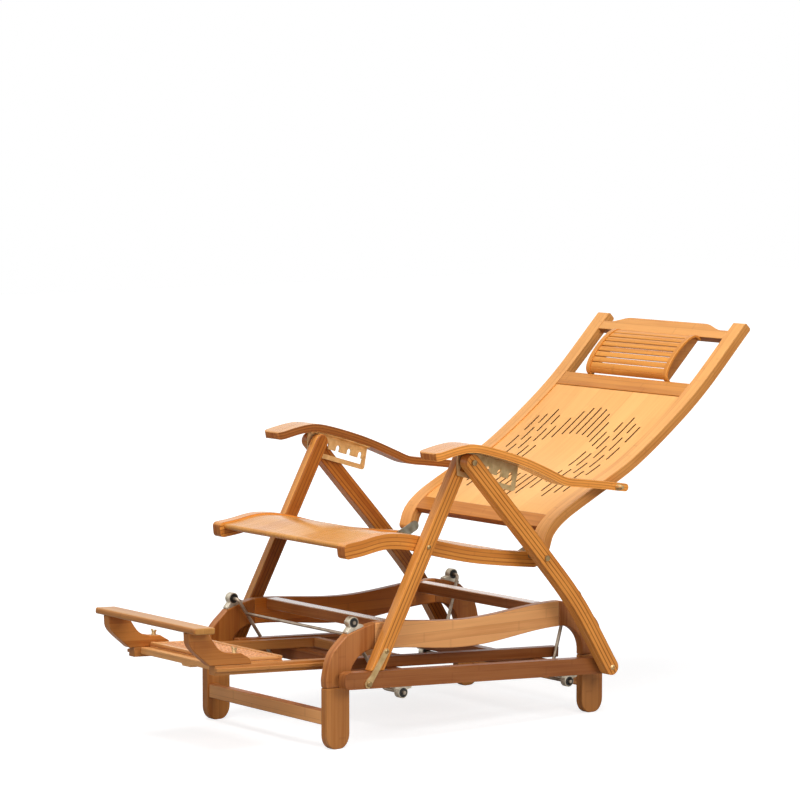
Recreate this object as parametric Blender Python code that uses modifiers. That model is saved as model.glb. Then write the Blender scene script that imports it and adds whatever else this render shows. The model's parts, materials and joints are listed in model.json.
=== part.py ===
"""Bamboo recliner hung on a gliding base, with a pull-out footrest.

Metres, +Z up, the sitter faces -Y and has +X on the left. The chair is drawn level, as it
hangs in the middle of its swing: Y from the middle of the base, Z from the floor. The swing
linkage then carries it to the rest pose, leaning back on the rear stop.
"""
import math

import bmesh
import bpy
from mathutils import Matrix, Vector

# Fits
SEATED = 0.0003          # gap left between faces that rest on each other
RUNNING = 0.0004         # radial gap of a pin in its hole
SLIDING = 0.0008         # gap round the footrest's tongue

# Swing base
BASE_LENGTH = 0.786
BASE_WIDTH = 0.472
BASE_BOARD = 0.022
BASE_TOP = 0.266
BASE_LEG = 0.062
RAIL_DIP = 0.016         # how far the top edge of a side rail sags at its middle
RAIL_DEPTH = 0.062       # height of a side rail at its middle
RAIL_ARCH = 0.020        # rise of its lower edge towards the legs
KNEE_REACH = 0.131       # length of the leg piece along the top
KNEE_RADIUS = 0.104
CORNER_RADIUS = 0.062    # hollow corner between leg and rail
LAND_DROP = 0.0122       # bearing land's middle below the top of the base
LAND_SLOPE = math.radians(16)
LAND_LENGTH = 0.050
LAND_INSET = 0.080       # land's middle from the end of the base
STRETCHER_Z = 0.0685
STRETCHER_HEIGHT = 0.031
STRETCHER_THICK = 0.020
CROSS_RAIL_Y = 0.215
CROSS_RAIL_HEIGHT = 0.024
CROSS_RAIL_THICK = 0.030
CROSS_RAIL_DROP = 0.0005 # below the side rail's top edge

# Swing linkage
PIN_RADIUS = 0.004
BEARING_RISE = 0.018
BEARING_RADIUS = 0.013
BEARING_WIDTH = 0.016
BEARING_FOOT = 0.046
BEARING_PLATE = 0.004
SWING_ARM = 0.1922
SWING_SPLAY = math.radians(24.65)   # lean of the arms when the chair hangs level
SWING_HALF = math.radians(9.5)
LOOP_PLAY = 0.0034       # radial play of the opened pivot at the rear of the carriage
ARM_SETBACK = 0.014      # swing arm's centre inside the base board
ARM_BEND = 0.008
SWING_ROD_RADIUS = 0.0035
SWING_ROD_DROP = 0.042   # from the upper pivot, along the arm

# Carriage
SIDE_GAP = 0.012         # between base board and carriage rail
CARRIAGE_RAIL = 0.024
CARRIAGE_RAIL_HEIGHT = 0.037
CARRIAGE_RAIL_FRONT = 0.162   # front end ahead of the front pivot
CARRIAGE_DROP = 0.0135   # rail's lower edge above the pivots
CARRIAGE_CROSS_INSIDE = 0.0278   # cross rail's middle inside the pivots
CARRIAGE_CROSS = 0.030
TRACK_ROOM = 0.024       # between base board and track, for the swing arms
TRACK_THICK = 0.024
TRACK_HEIGHT = 0.024
TRACK_FRONT = -0.370
TRACK_REAR = 0.270
GROOVE_DEPTH = 0.007
GROOVE_HEIGHT = 0.008

# Leg frame
LEG_TOP_Y = -0.099
LEG_RISE = 0.452         # top pin above the carriage rail
FRONT_FOOT_AHEAD = 0.076 # front leg's foot ahead of the front pivot
REAR_FOOT_BEHIND = 0.095 # rear leg's foot behind the rear pivot
FRONT_LEG_WIDTH = 0.035
REAR_LEG_WIDTH = 0.036
REAR_LEG_THICK = 0.026
REAR_LEG_BOW = 0.017     # how far the lower half bows out
PLATE_THICK = 0.003
PLATE_GAP = 0.002        # toothed plate to either leg
FOOT_BOSS = 0.015        # spacer on the carriage rail under the rear leg
BOLT_RADIUS = 0.004
HEAD_RADIUS = 0.0065
HEAD_HEIGHT = 0.0045

# Seat
SEAT_RISE = 0.266        # seat pivot above the carriage rail
SEAT_RAIL_THICK = 0.028
SEAT_RAIL_HEIGHT = 0.034
SEAT_LINE = [(-0.193, -0.006), (-0.163, -0.001), (-0.100, 0.0115), (-0.032, 0.008),
             (0.052, -0.009), (0.138, -0.024), (0.224, -0.033), (0.322, -0.040)]
SEAT_PANEL = 0.012
SEAT_PANEL_INSET = 0.004
SEAT_PANEL_REAR = 0.278  # from the seat pivot
SEAT_CROSS_FRONT = -0.150
SEAT_CROSS_WIDTH = 0.030
SEAT_CROSS_HEIGHT = 0.018
SEAT_BACK_BAR = 0.036
HINGE_Y = 0.345          # back hinge from the seat pivot
HINGE_Z = -0.011
HINGE_PLATE = 0.003
HINGE_RADIUS = 0.012
HINGE_REACH = 0.060
HINGE_SLOPE = math.radians(28)
HINGE_BOLT = 0.040       # seat bolt from the hinge pin

# Back
BACK_RAIL_WIDTH = 0.040
BACK_RAIL_DEPTH = 0.023
BACK_OFFSET = 0.001      # back rail's inner face outside the seat rail's
BACK_LINE = [(0.0, 0.0), (0.012, 0.034), (0.052, 0.071), (0.138, 0.121), (0.2455, 0.182),
             (0.361, 0.270), (0.4605, 0.360), (0.585, 0.497)]
BACK_BOARD = 0.018
CREST_FROM_TOP = 0.046
CREST_HEIGHT = 0.026
CREST_RAISE = 0.016
CREST_FLAT = 0.131       # half width of the raised part
CREST_SWEEP = 0.067      # length of the slope on either side of it
MID_FROM_TOP = 0.231
MID_HEIGHT = 0.042
LOWER_FROM_HINGE = 0.036
LOWER_HEIGHT = 0.038
BACK_PANEL = 0.009
BACK_PANEL_INSET = 0.003
SLIT_WIDTH = 0.004
SLIT_PITCH = 0.0226
SLIT_DROP = 0.011        # the pierced pattern's middle below the panel's
# Slits of each column, from the middle column outwards, measured up the back from the pattern's middle
SLIT_COLUMNS = [[(0.087, 0.186)],
                [(0.085, 0.182)],
                [(0.080, 0.168)],
                [(0.065, 0.140)],
                [(-0.031, 0.031), (0.052, 0.107)],
                [(-0.027, 0.027), (0.043, 0.094), (0.109, 0.145)],
                [(0.010, 0.059), (0.080, 0.165)],
                [(-0.027, 0.027), (0.043, 0.094), (0.109, 0.145)],
                [(0.010, 0.060), (0.078, 0.136)]]
PILLOW_HALF = 0.144
PILLOW_END = 0.014
PILLOW_RISE = 0.040
PILLOW_BACK = 0.003      # back of its end plates in front of the back's line
PILLOW_LIP = 0.008       # front of the end plates at their ends
SLATS = 10
SLAT_WIDTH = 0.0128
SLAT_THICK = 0.006
SLAT_START = 0.013       # first slat's middle along the round

# Armrests
ARM_THICK = 0.018
ARM_WIDTH = 0.060
ARM_REAR_WIDTH = 0.040
ARM_FLARE = 0.010        # how far the front part spreads inwards
ARM_GAP = 0.003          # armrest to back rail
ARM_PIVOT = 0.2235       # along the back rail from its hinge
ARM_FRONT_LINE = [(-0.116, 0.013), (-0.056, 0.028), (-0.013, 0.0325), (0.039, 0.0245), (0.112, 0.0070),
                  (0.167, -0.0095), (0.223, -0.0295)]
ARM_REAR_LINE = [(-0.154, 0.0145), (-0.104, 0.0095), (-0.045, 0.0045), (0.0, 0.0), (0.024, -0.002)]
SLOTS = 5
SLOT_PITCH = 0.0334
SLOT_SLOPE = math.radians(-13.4)
SLOT_WIDTH = 0.0105
PLATE_FRONT = 0.024      # plate ahead of the first slot
PLATE_REAR = 0.022       # plate behind the last slot
PLATE_BELOW = 0.034      # plate below the line of the slots
LANE_TOP = 0.010         # lane under the slots, below their line
LANE_BOTTOM = 0.023
FLANGE_WIDTH = 0.013

# Latch hooks
HOOK_RISE = 0.043        # hook's screw above the carriage rail
HOOK_PIN_AHEAD = 0.023   # stud ahead of the front leg's foot
HOOK_PIN_DROP = 0.0076   # stud below the middle of the rail
HOOK_PLATE = 0.0025
HOOK_WIDTH = 0.014
HOOK_LIP = 0.006

# Footrest
FOOT_RAIL_THICK = 0.022
FOOT_RAIL_HEIGHT = 0.021
FOOT_RAIL_FRONT = -0.667
FOOT_RAIL_LENGTH = 0.510
FOOT_CROSS = 0.020
FOOT_CROSS_BACK = 0.016  # front rail behind the rails' front ends
FOOT_CROSS_HEIGHT = 0.014
GRIP_HALF = 0.020
GRIP_DROP = 0.005
GRIP_ASIDE = 0.034       # finger grip to the left of the middle
PANEL_SPACE = 0.004      # massage panel behind the front rail
PANEL_LENGTH = 0.153
PANEL_HEIGHT = 0.024
PANEL_RAISE = 0.011      # panel's top above the rails
PANEL_RIM = 0.012
BEAD_ROWS = 7
BEAD_RADIUS = 0.0075
BAR_LENGTH = 0.386
BAR_WIDTH = 0.054
BAR_THICK = 0.014
BAR_AHEAD = 0.048        # bar's middle ahead of the rails
BAR_RISE = 0.079         # bar's middle above the rails
BRACKET_AHEAD = 0.013
BRACKET_FOOT = 0.109
WING_BACK = 0.056        # wing nut behind the rails' front ends
WING_LIFT = 0.0245       # its land above the rails
WING_LAND = 0.022
WING_HUB = 0.0055
WING_HUB_HEIGHT = 0.006
WING_SPAN = 0.020
WING_THICK = 0.003
WING_RISE = 0.006

# Finish
EDGE = 0.0015            # eased edges of the boards
ROUND = 12               # sides of a small turned piece
HONEY = (0.72, 0.40, 0.15)
PALE = (0.84, 0.56, 0.27)
BROWN = (0.50, 0.25, 0.10)
ZINC = (0.52, 0.50, 0.42)

# Places across the chair, from the middle outwards
BASE_OUT = BASE_WIDTH / 2
BASE_IN = BASE_OUT - BASE_BOARD
BASE_MID = BASE_OUT - BASE_BOARD / 2
LEG_IN = BASE_OUT + SIDE_GAP
LEG_OUT = LEG_IN + CARRIAGE_RAIL
PLATE_IN = LEG_OUT + PLATE_GAP
PLATE_OUT = PLATE_IN + PLATE_THICK
REAR_LEG_IN = PLATE_OUT + PLATE_GAP + SEATED
REAR_LEG_OUT = REAR_LEG_IN + REAR_LEG_THICK
SEAT_OUT = LEG_IN - SEATED
SEAT_IN = SEAT_OUT - SEAT_RAIL_THICK
BACK_IN = SEAT_IN + BACK_OFFSET
BACK_OUT = BACK_IN + BACK_RAIL_WIDTH
ARM_IN = BACK_OUT + ARM_GAP
ARM_OUT = ARM_IN + ARM_WIDTH
TRACK_OUT = BASE_IN - TRACK_ROOM
TRACK_IN = TRACK_OUT - TRACK_THICK
FOOT_OUT = TRACK_IN - SLIDING - SEATED
FOOT_IN = FOOT_OUT - FOOT_RAIL_THICK
SWING_X = BASE_IN - ARM_SETBACK

# Swing pivots and the rest pose
HALF_BASE = BASE_LENGTH / 2
LAND_Y = HALF_BASE - LAND_INSET
PIVOT_Y = LAND_Y + BEARING_RISE * math.sin(LAND_SLOPE)
PIVOT_Z = BASE_TOP - LAND_DROP + BEARING_RISE * math.cos(LAND_SLOPE)
LOWER_HALF = PIVOT_Y - SWING_ARM * math.sin(SWING_SPLAY)
LOWER_PIVOTS = LOWER_HALF * 2
LEVEL_Z = PIVOT_Z - SWING_ARM * math.cos(SWING_SPLAY)
FRONT_ANGLE = SWING_SPLAY + SWING_HALF
FRONT_PIVOT = Vector((-PIVOT_Y + SWING_ARM * math.sin(FRONT_ANGLE),
                      PIVOT_Z - SWING_ARM * math.cos(FRONT_ANGLE)))


def rear_pivot():
    """Rear pivot of the carriage where the rear arm and the carriage meet below the base."""
    span = Vector((PIVOT_Y, PIVOT_Z)) - FRONT_PIVOT
    reach = span.length
    along = (LOWER_PIVOTS ** 2 - SWING_ARM ** 2 + reach ** 2) / (2 * reach)
    aside = math.sqrt(LOWER_PIVOTS ** 2 - along ** 2)
    unit = span / reach
    return FRONT_PIVOT + unit * along + Vector((unit.y, -unit.x)) * aside


REAR_PIVOT = rear_pivot()
REST_TILT = math.atan2(FRONT_PIVOT.y - REAR_PIVOT.y, REAR_PIVOT.x - FRONT_PIVOT.x)
REAR_ANGLE = math.atan2(REAR_PIVOT.x - PIVOT_Y, PIVOT_Z - REAR_PIVOT.y)

# Heights and pivots of the level chair
RAIL_LOW = LEVEL_Z + CARRIAGE_DROP
RAIL_MID = RAIL_LOW + CARRIAGE_RAIL_HEIGHT / 2
RAIL_HIGH = RAIL_LOW + CARRIAGE_RAIL_HEIGHT
CROSS_HIGH = RAIL_LOW + CARRIAGE_CROSS
TRACK_LOW = CROSS_HIGH + SEATED
TRACK_HIGH = TRACK_LOW + TRACK_HEIGHT
FOOT_LOW = CROSS_HIGH + SLIDING
FOOT_HIGH = FOOT_LOW + FOOT_RAIL_HEIGHT
BAR_Y = FOOT_RAIL_FRONT - BAR_AHEAD
BAR_Z = FOOT_HIGH + BAR_RISE
WING_Y = FOOT_RAIL_FRONT + WING_BACK
WING_Z = FOOT_HIGH + WING_LIFT
LEG_TOP = Vector((LEG_TOP_Y, RAIL_HIGH + LEG_RISE))
FRONT_FOOT = Vector((-LOWER_HALF - FRONT_FOOT_AHEAD, RAIL_HIGH + SEATED))
REAR_FOOT = Vector((LOWER_HALF + REAR_FOOT_BEHIND, RAIL_MID))


def on_front_leg(height):
    """Point of the front leg's centre line at this height."""
    share = (height - FRONT_FOOT.y) / (LEG_TOP.y - FRONT_FOOT.y)
    return FRONT_FOOT.lerp(LEG_TOP, share)


SEAT_PIVOT = on_front_leg(RAIL_HIGH + SEAT_RISE)
HOOK_PIVOT = on_front_leg(RAIL_HIGH + HOOK_RISE)
HOOK_PIN = Vector((FRONT_FOOT.x - HOOK_PIN_AHEAD, RAIL_MID - HOOK_PIN_DROP))
BACK_HINGE = SEAT_PIVOT + Vector((HINGE_Y, HINGE_Z))
HINGE_TAIL = -Vector((math.cos(HINGE_SLOPE), math.sin(HINGE_SLOPE)))
SEAT_BOLT = BACK_HINGE + HINGE_TAIL * HINGE_BOLT


class Path:
    """A smooth line in the side view through a few points, measured along its length."""

    def __init__(self, points, steps=3):
        ends = [points[0] * 2 - points[1]] + list(points) + [points[-1] * 2 - points[-2]]
        self.points = []
        for before, start, stop, after in zip(ends, ends[1:], ends[2:], ends[3:]):
            for step in range(steps):
                t = step / steps
                bend = (start * 2 + (stop - before) * t
                        + (before * 2 - start * 5 + stop * 4 - after) * t ** 2
                        + (start * 3 - before - stop * 3 + after) * t ** 3)
                self.points.append(bend / 2)
        self.points.append(points[-1].copy())
        self.lengths = [0.0]
        for first, second in zip(self.points, self.points[1:]):
            self.lengths.append(self.lengths[-1] + (second - first).length)
        self.length = self.lengths[-1]

    def tangent(self, index):
        first = self.points[max(index - 1, 0)]
        second = self.points[min(index + 1, len(self.points) - 1)]
        return (second - first).normalized()

    def at(self, distance):
        """Point, tangent and upward normal at this distance along the line."""
        index = 1
        while index < len(self.lengths) - 1 and self.lengths[index] < distance:
            index += 1
        span = self.lengths[index] - self.lengths[index - 1]
        share = (distance - self.lengths[index - 1]) / span
        point = self.points[index - 1].lerp(self.points[index], share)
        tangent = self.tangent(index - 1).lerp(self.tangent(index), share).normalized()
        return point, tangent, Vector((-tangent.y, tangent.x))

    def reach(self, y):
        """Distance along the line at which it passes this place along the chair."""
        for index in range(1, len(self.points)):
            before, after = self.points[index - 1], self.points[index]
            if after.x >= y:
                share = (y - before.x) / (after.x - before.x)
                return self.lengths[index - 1] + share * (after - before).length
        return self.length

    def stretch(self, start, stop):
        """Places from start to stop: the two ends and the line's own points between."""
        inner = [d for d in self.lengths if start + EDGE < d < stop - EDGE]
        return [self.at(d) for d in [start] + inner + [stop]]

    def strip(self, start, stop, low, high, round_start=False, round_stop=False):
        """Outline of a bent board that follows the line, low and high beside it."""
        places = self.stretch(start, stop)
        outline = [point + normal * low for point, _, normal in places]
        if round_stop:
            outline += end_round(places[-1], low, high, 1)
        outline += [point + normal * high for point, _, normal in reversed(places)]
        if round_start:
            outline += end_round(places[0], low, high, -1)
        return outline


def end_round(place, low, high, sign, steps=6):
    """Points of the half circle that rounds off a strip."""
    point, tangent, normal = place
    middle = point + normal * (low + high) / 2
    radius = (high - low) / 2
    points = []
    for step in range(1, steps):
        turn = math.pi * step / steps
        points.append(middle + (tangent * math.sin(turn) - normal * math.cos(turn)) * radius * sign)
    return points


def arc(centre, radius, start, stop, steps):
    """Points along an arc, angles in degrees from +Y towards +Z."""
    points = []
    for step in range(steps + 1):
        turn = math.radians(start + (stop - start) * step / steps)
        points.append(centre + Vector((math.cos(turn), math.sin(turn))) * radius)
    return points


def capsule(first, second, radius, steps=6):
    """Outline of a strap with round ends between two points."""
    heading = math.degrees(math.atan2(second.y - first.y, second.x - first.x))
    outline = arc(second, radius, heading - 90, heading + 90, steps)
    return outline + arc(first, radius, heading + 90, heading + 270, steps)


def box_outline(low_a, high_a, low_b, high_b):
    corners = ((low_a, low_b), (high_a, low_b), (high_a, high_b), (low_a, high_b))
    return [Vector(corner) for corner in corners]


# Scene, materials and frames
for old in list(bpy.data.objects):
    bpy.data.objects.remove(old, do_unlink=True)
PARTS = bpy.data.collections.new("glider_recliner")
CUTTERS = bpy.data.collections.new("cutters")
for group in (PARTS, CUTTERS):
    bpy.context.scene.collection.children.link(group)

SIDE_VIEW = Matrix(((0, 0, 1, 0), (1, 0, 0, 0), (0, 1, 0, 0), (0, 0, 0, 1)))
FRONT_VIEW = Matrix(((1, 0, 0, 0), (0, 0, -1, 0), (0, 1, 0, 0), (0, 0, 0, 1)))
SIDES = (("left", 1), ("right", -1))
ENDS = (("front", -1), ("rear", 1))


def finish(name, colour, roughness, metallic):
    material = bpy.data.materials.new(name)
    material.use_nodes = True
    shader = material.node_tree.nodes["Principled BSDF"]
    shader.inputs["Base Color"].default_value = (*colour, 1)
    shader.inputs["Roughness"].default_value = roughness
    shader.inputs["Metallic"].default_value = metallic
    return material


BAMBOO = finish("honey_bamboo", HONEY, 0.42, 0.0)
PALE_BAMBOO = finish("pale_bamboo", PALE, 0.45, 0.0)
DARK_BAMBOO = finish("brown_bamboo", BROWN, 0.45, 0.0)
STEEL = finish("zinc_steel", ZINC, 0.35, 1.0)


class Frame:
    """A body's empty, with the point of the level drawing that it stands on."""

    def __init__(self, name, parent, point, basis=None):
        self.point = Vector(point)
        self.empty = bpy.data.objects.new(name + "_joint", None)
        PARTS.objects.link(self.empty)
        if parent:
            self.empty.parent = parent.empty
            self.empty.matrix_basis = basis or Matrix.Translation(self.point - parent.point)
        else:
            self.empty.matrix_basis = basis or Matrix.Identity(4)

    def carry(self, obj, matrix):
        obj.parent = self.empty
        obj.matrix_basis = Matrix.Translation(-self.point) @ matrix


def turned_to(angle, height_pivot):
    """Placement of an empty on a pivot in the side view, turned about X."""
    place = Matrix.Translation((0, height_pivot.x, height_pivot.y))
    return place @ Matrix.Rotation(angle, 4, "X")


ROOT = Frame("base", None, (0, 0, 0))
FRONT_SWING = Frame("front_swing", ROOT, (0, 0, 0), turned_to(FRONT_ANGLE, Vector((-PIVOT_Y, PIVOT_Z))))
REAR_SWING = Frame("rear_swing", ROOT, (0, 0, 0), turned_to(REAR_ANGLE, Vector((PIVOT_Y, PIVOT_Z))))
CARRIAGE = Frame("carriage", ROOT, (0, -LOWER_HALF, LEVEL_Z), turned_to(-REST_TILT, FRONT_PIVOT))
BACK = Frame("back", CARRIAGE, (0, *BACK_HINGE))
FOOTREST = Frame("footrest", CARRIAGE, (0, FOOT_RAIL_FRONT, FOOT_LOW))

BACK_PATH = Path([BACK_HINGE + Vector(step) for step in BACK_LINE])
SEAT_PATH = Path([SEAT_PIVOT + Vector(step) for step in SEAT_LINE])
ARM_BOLT = BACK_PATH.at(ARM_PIVOT)[0]
ARM_PATH = Path([LEG_TOP + Vector(step) for step in ARM_FRONT_LINE]
                + [ARM_BOLT + Vector(step) for step in ARM_REAR_LINE])
ARMS = {name: Frame("arm_" + name, BACK, (side * ARM_IN, *ARM_BOLT)) for name, side in SIDES}
HOOKS = {name: Frame("hook_" + name, CARRIAGE, (side * LEG_OUT, *HOOK_PIVOT)) for name, side in SIDES}
WINGS = {name: Frame("wing_nut_" + name, FOOTREST, (side * (FOOT_IN + FOOT_OUT) / 2, WING_Y, WING_Z))
         for name, side in SIDES}


def add_object(name, mesh, frame, matrix, material, bevel=0.0):
    obj = bpy.data.objects.new(name, mesh)
    PARTS.objects.link(obj)
    mesh.materials.clear()
    mesh.materials.append(material)
    frame.carry(obj, matrix)
    if bevel:
        ease_edges(obj, bevel)
    return obj


def ease_edges(obj, width):
    ease = obj.modifiers.new("eased_edges", "BEVEL")
    ease.width = width
    ease.segments = 1
    ease.limit_method = "ANGLE"
    ease.angle_limit = math.radians(50)


def mesh_of(curve):
    """Closed mesh of a curve, its caps welded on."""
    drawn = bpy.data.objects.new("drawn", curve)
    CUTTERS.objects.link(drawn)
    bpy.context.view_layer.update()
    mesh = bpy.data.meshes.new_from_object(drawn.evaluated_get(bpy.context.evaluated_depsgraph_get()))
    bpy.data.objects.remove(drawn, do_unlink=True)
    welded = bmesh.new()
    welded.from_mesh(mesh)
    bmesh.ops.remove_doubles(welded, verts=welded.verts, dist=1e-6)
    bmesh.ops.recalc_face_normals(welded, faces=welded.faces)
    welded.to_mesh(mesh)
    welded.free()
    return mesh


def flat_mesh(outline, thickness, holes=()):
    """Mesh of a flat outline, with holes, thick to both sides of its plane."""
    curve = bpy.data.curves.new("outline", "CURVE")
    curve.dimensions = "2D"
    curve.fill_mode = "BOTH"
    curve.extrude = thickness / 2
    for loop in [outline, *holes]:
        spline = curve.splines.new("POLY")
        spline.points.add(len(loop) - 1)
        spline.use_cyclic_u = True
        for corner, point in zip(spline.points, loop):
            corner.co = (point.x, point.y, 0, 1)
    return mesh_of(curve)


def side_board(name, outline, x_in, x_out, frame, material, holes=(), bevel=EDGE):
    """A board seen from the side, between two places across the chair."""
    mesh = flat_mesh(outline, abs(x_out - x_in), holes)
    place = Matrix.Translation(((x_in + x_out) / 2, 0, 0)) @ SIDE_VIEW
    return add_object(name, mesh, frame, place, material, bevel)


def front_board(name, outline, y_front, y_rear, frame, material, bevel=EDGE):
    """A board seen from the front, between two places along the chair."""
    place = Matrix.Translation((0, (y_front + y_rear) / 2, 0)) @ FRONT_VIEW
    return add_object(name, flat_mesh(outline, y_rear - y_front), frame, place, material, bevel)


def bored(centre, radius):
    """Hole outline."""
    return arc(centre, radius, 0, 360 - 360 / ROUND, ROUND - 1)


def turned_mesh(profile, sides=ROUND):
    """Mesh turned about X from (place along X, radius) pairs, closed at both ends."""
    solid = bmesh.new()
    ends = [(profile[0][0], 0.0)] + list(profile) + [(profile[-1][0], 0.0)]
    corners = [solid.verts.new((x, radius, 0)) for x, radius in ends]
    edges = [solid.edges.new(pair) for pair in zip(corners, corners[1:])]
    bmesh.ops.spin(solid, geom=corners + edges, cent=(0, 0, 0), axis=(1, 0, 0),
                   angle=math.tau, steps=sides, use_merge=True)
    bmesh.ops.remove_doubles(solid, verts=solid.verts, dist=1e-6)
    bmesh.ops.recalc_face_normals(solid, faces=solid.faces)
    mesh = bpy.data.meshes.new("turned")
    solid.to_mesh(mesh)
    solid.free()
    mesh.shade_smooth()
    mesh.set_sharp_from_angle(angle=math.radians(40))
    return mesh


def group_mesh(pieces):
    """One mesh of several separate solids, each a mesh with its placement."""
    joined = bmesh.new()
    for mesh, matrix in pieces:
        placed = mesh.copy()
        placed.transform(matrix)
        joined.from_mesh(placed)
        bpy.data.meshes.remove(placed)
    mesh = bpy.data.meshes.new("group")
    joined.to_mesh(mesh)
    joined.free()
    return mesh


def united(name, meshes, frame, material, bevel=0.0):
    """One solid from several overlapping meshes, each with its placement."""
    first, matrix = meshes[0]
    body = add_object(name, first, frame, matrix, material)
    for mesh, place in meshes[1:]:
        tool = bpy.data.objects.new(name + "_tool", mesh)
        CUTTERS.objects.link(tool)
        frame.carry(tool, place)
        hide_tool(tool)
        union = body.modifiers.new("union", "BOOLEAN")
        union.operation = "UNION"
        union.object = tool
    if bevel:
        ease_edges(body, bevel)


def hide_tool(tool):
    tool.hide_render = True
    tool.display_type = "WIRE"


def cut(body, tool, operation):
    hide_tool(tool)
    step = body.modifiers.new(operation.lower(), "BOOLEAN")
    step.operation = operation
    step.object = tool


# Swing base

def rail_top(y):
    """Height of the side rail's wavy top edge."""
    return BASE_TOP - RAIL_DIP * (1 + math.cos(math.pi * y / (HALF_BASE - KNEE_REACH))) / 2


def rail_bottom(y):
    """Height of its lower edge."""
    low = BASE_TOP - RAIL_DIP - RAIL_DEPTH
    return low + RAIL_ARCH * (1 - math.cos(math.pi * y / (HALF_BASE - KNEE_REACH))) / 2


def base_side_outline(steps=5):
    """Arched side: wavy rail, bearing lands, knees and feet, rear half first."""
    seam = HALF_BASE - KNEE_REACH
    inner = HALF_BASE - BASE_LEG
    under = rail_bottom(seam)
    toe = BASE_LEG / 2
    heel = BASE_LEG * 0.22
    places = [seam * step / steps for step in range(steps + 1)]
    corner = Vector((inner - CORNER_RADIUS, under - CORNER_RADIUS))
    land_mid = Vector((LAND_Y, BASE_TOP - LAND_DROP))
    land_run = Vector((math.cos(LAND_SLOPE), -math.sin(LAND_SLOPE))) * LAND_LENGTH / 2
    knee = Path([Vector((HALF_BASE, BASE_TOP - KNEE_RADIUS)),
                 Vector((HALF_BASE - KNEE_RADIUS * 0.15, BASE_TOP - KNEE_RADIUS * 0.55)),
                 land_mid + land_run])
    half = [Vector((y, rail_bottom(y))) for y in places[1:]]
    half += arc(corner, CORNER_RADIUS, 90, 0, 5)
    half += [Vector((inner, toe)), Vector((inner + heel * 0.35, heel)), Vector((inner + heel, 0)),
             Vector((HALF_BASE - heel, 0)), Vector((HALF_BASE - heel * 0.35, heel)),
             Vector((HALF_BASE, toe))]
    half += knee.points + [land_mid - land_run]
    half += [Vector((y, rail_top(y))) for y in reversed(places[1:])]
    mirrored = [Vector((-point.x, point.y)) for point in reversed(half)]
    return [Vector((0, rail_bottom(0))), *half, Vector((0, rail_top(0))), *mirrored]


def upper_bearing_outline(end):
    """Ring over a foot that lies on the sloping land."""
    pivot = Vector((PIVOT_Y, PIVOT_Z))
    run = Vector((math.cos(LAND_SLOPE), -math.sin(LAND_SLOPE)))
    rise = Vector((math.sin(LAND_SLOPE), math.cos(LAND_SLOPE)))
    return [Vector((point.x * end, point.y)) for point in bearing_outline(pivot, run, rise, BEARING_RISE)]


def bearing_outline(pivot, run, rise, height):
    """Ring about the pivot on a foot plate, which lies this far below along rise."""
    floor = pivot - rise * (height - SEATED)
    half = BEARING_FOOT / 2
    points = [floor - run * half, floor + run * half, floor + run * half + rise * BEARING_PLATE]
    steps = 10
    for step in range(steps + 1):
        turn = math.radians(-30 + 240 * step / steps)
        points.append(pivot + (run * math.cos(turn) + rise * math.sin(turn)) * BEARING_RADIUS)
    points.append(floor - run * half + rise * BEARING_PLATE)
    return points


for side_name, side in SIDES:
    span = (side * BASE_IN, side * BASE_OUT)
    side_board("base_side_" + side_name, base_side_outline(), *span, ROOT, DARK_BAMBOO)

inside = BASE_IN - SEATED
for name, end in (("front_stretcher", -1), ("rear_stretcher", 1)):
    middle = end * (HALF_BASE - EDGE - STRETCHER_THICK / 2 - 0.002)
    low = STRETCHER_Z - STRETCHER_HEIGHT / 2
    outline = box_outline(-inside, inside, low, low + STRETCHER_HEIGHT)
    fore = middle - STRETCHER_THICK / 2
    front_board(name, outline, fore, fore + STRETCHER_THICK, ROOT, DARK_BAMBOO)
for name, end in (("base_cross_rail_front", -1), ("base_cross_rail_rear", 1)):
    high = rail_top(CROSS_RAIL_Y) - CROSS_RAIL_DROP
    outline = box_outline(-inside, inside, high - CROSS_RAIL_HEIGHT, high)
    fore = end * CROSS_RAIL_Y - CROSS_RAIL_THICK / 2
    front_board(name, outline, fore, fore + CROSS_RAIL_THICK, ROOT, DARK_BAMBOO)

for end_name, end in ENDS:
    bore = bored(Vector((end * PIVOT_Y, PIVOT_Z)), PIN_RADIUS + RUNNING)
    for side_name, side in SIDES:
        span = (side * (BASE_MID - BEARING_WIDTH / 2), side * (BASE_MID + BEARING_WIDTH / 2))
        side_board(f"upper_bearing_{end_name}_{side_name}", upper_bearing_outline(end), *span,
                   ROOT, STEEL, [bore], 0)


# Swing arms

def swing_arm_route(side):
    """Bent rod: upper pin out through its bearing, arm down, lower pin out under the carriage."""
    steps = 3
    turns = [math.pi / 2 * step / steps for step in range(steps + 1)]
    upper = [(SWING_X + ARM_BEND * (1 - math.cos(turn)), -ARM_BEND * (1 - math.sin(turn)))
             for turn in reversed(turns)]
    lower = [(x, -SWING_ARM - z) for x, z in reversed(upper)]
    route = [(BASE_OUT, 0.0)] + upper + lower + [(LEG_OUT + EDGE, -SWING_ARM)]
    return [Vector((side * x, 0, z)) for x, z in route]


def rod_mesh(route, radius):
    """Mesh of a round rod along its points."""
    curve = bpy.data.curves.new("rod", "CURVE")
    curve.dimensions = "3D"
    curve.bevel_depth = radius
    curve.bevel_resolution = 2
    curve.use_fill_caps = True
    spline = curve.splines.new("POLY")
    spline.points.add(len(route) - 1)
    for corner, point in zip(spline.points, route):
        corner.co = (*point, 1)
    mesh = mesh_of(curve)
    mesh.shade_smooth()
    mesh.set_sharp_from_angle(angle=math.radians(50))
    return mesh


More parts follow.
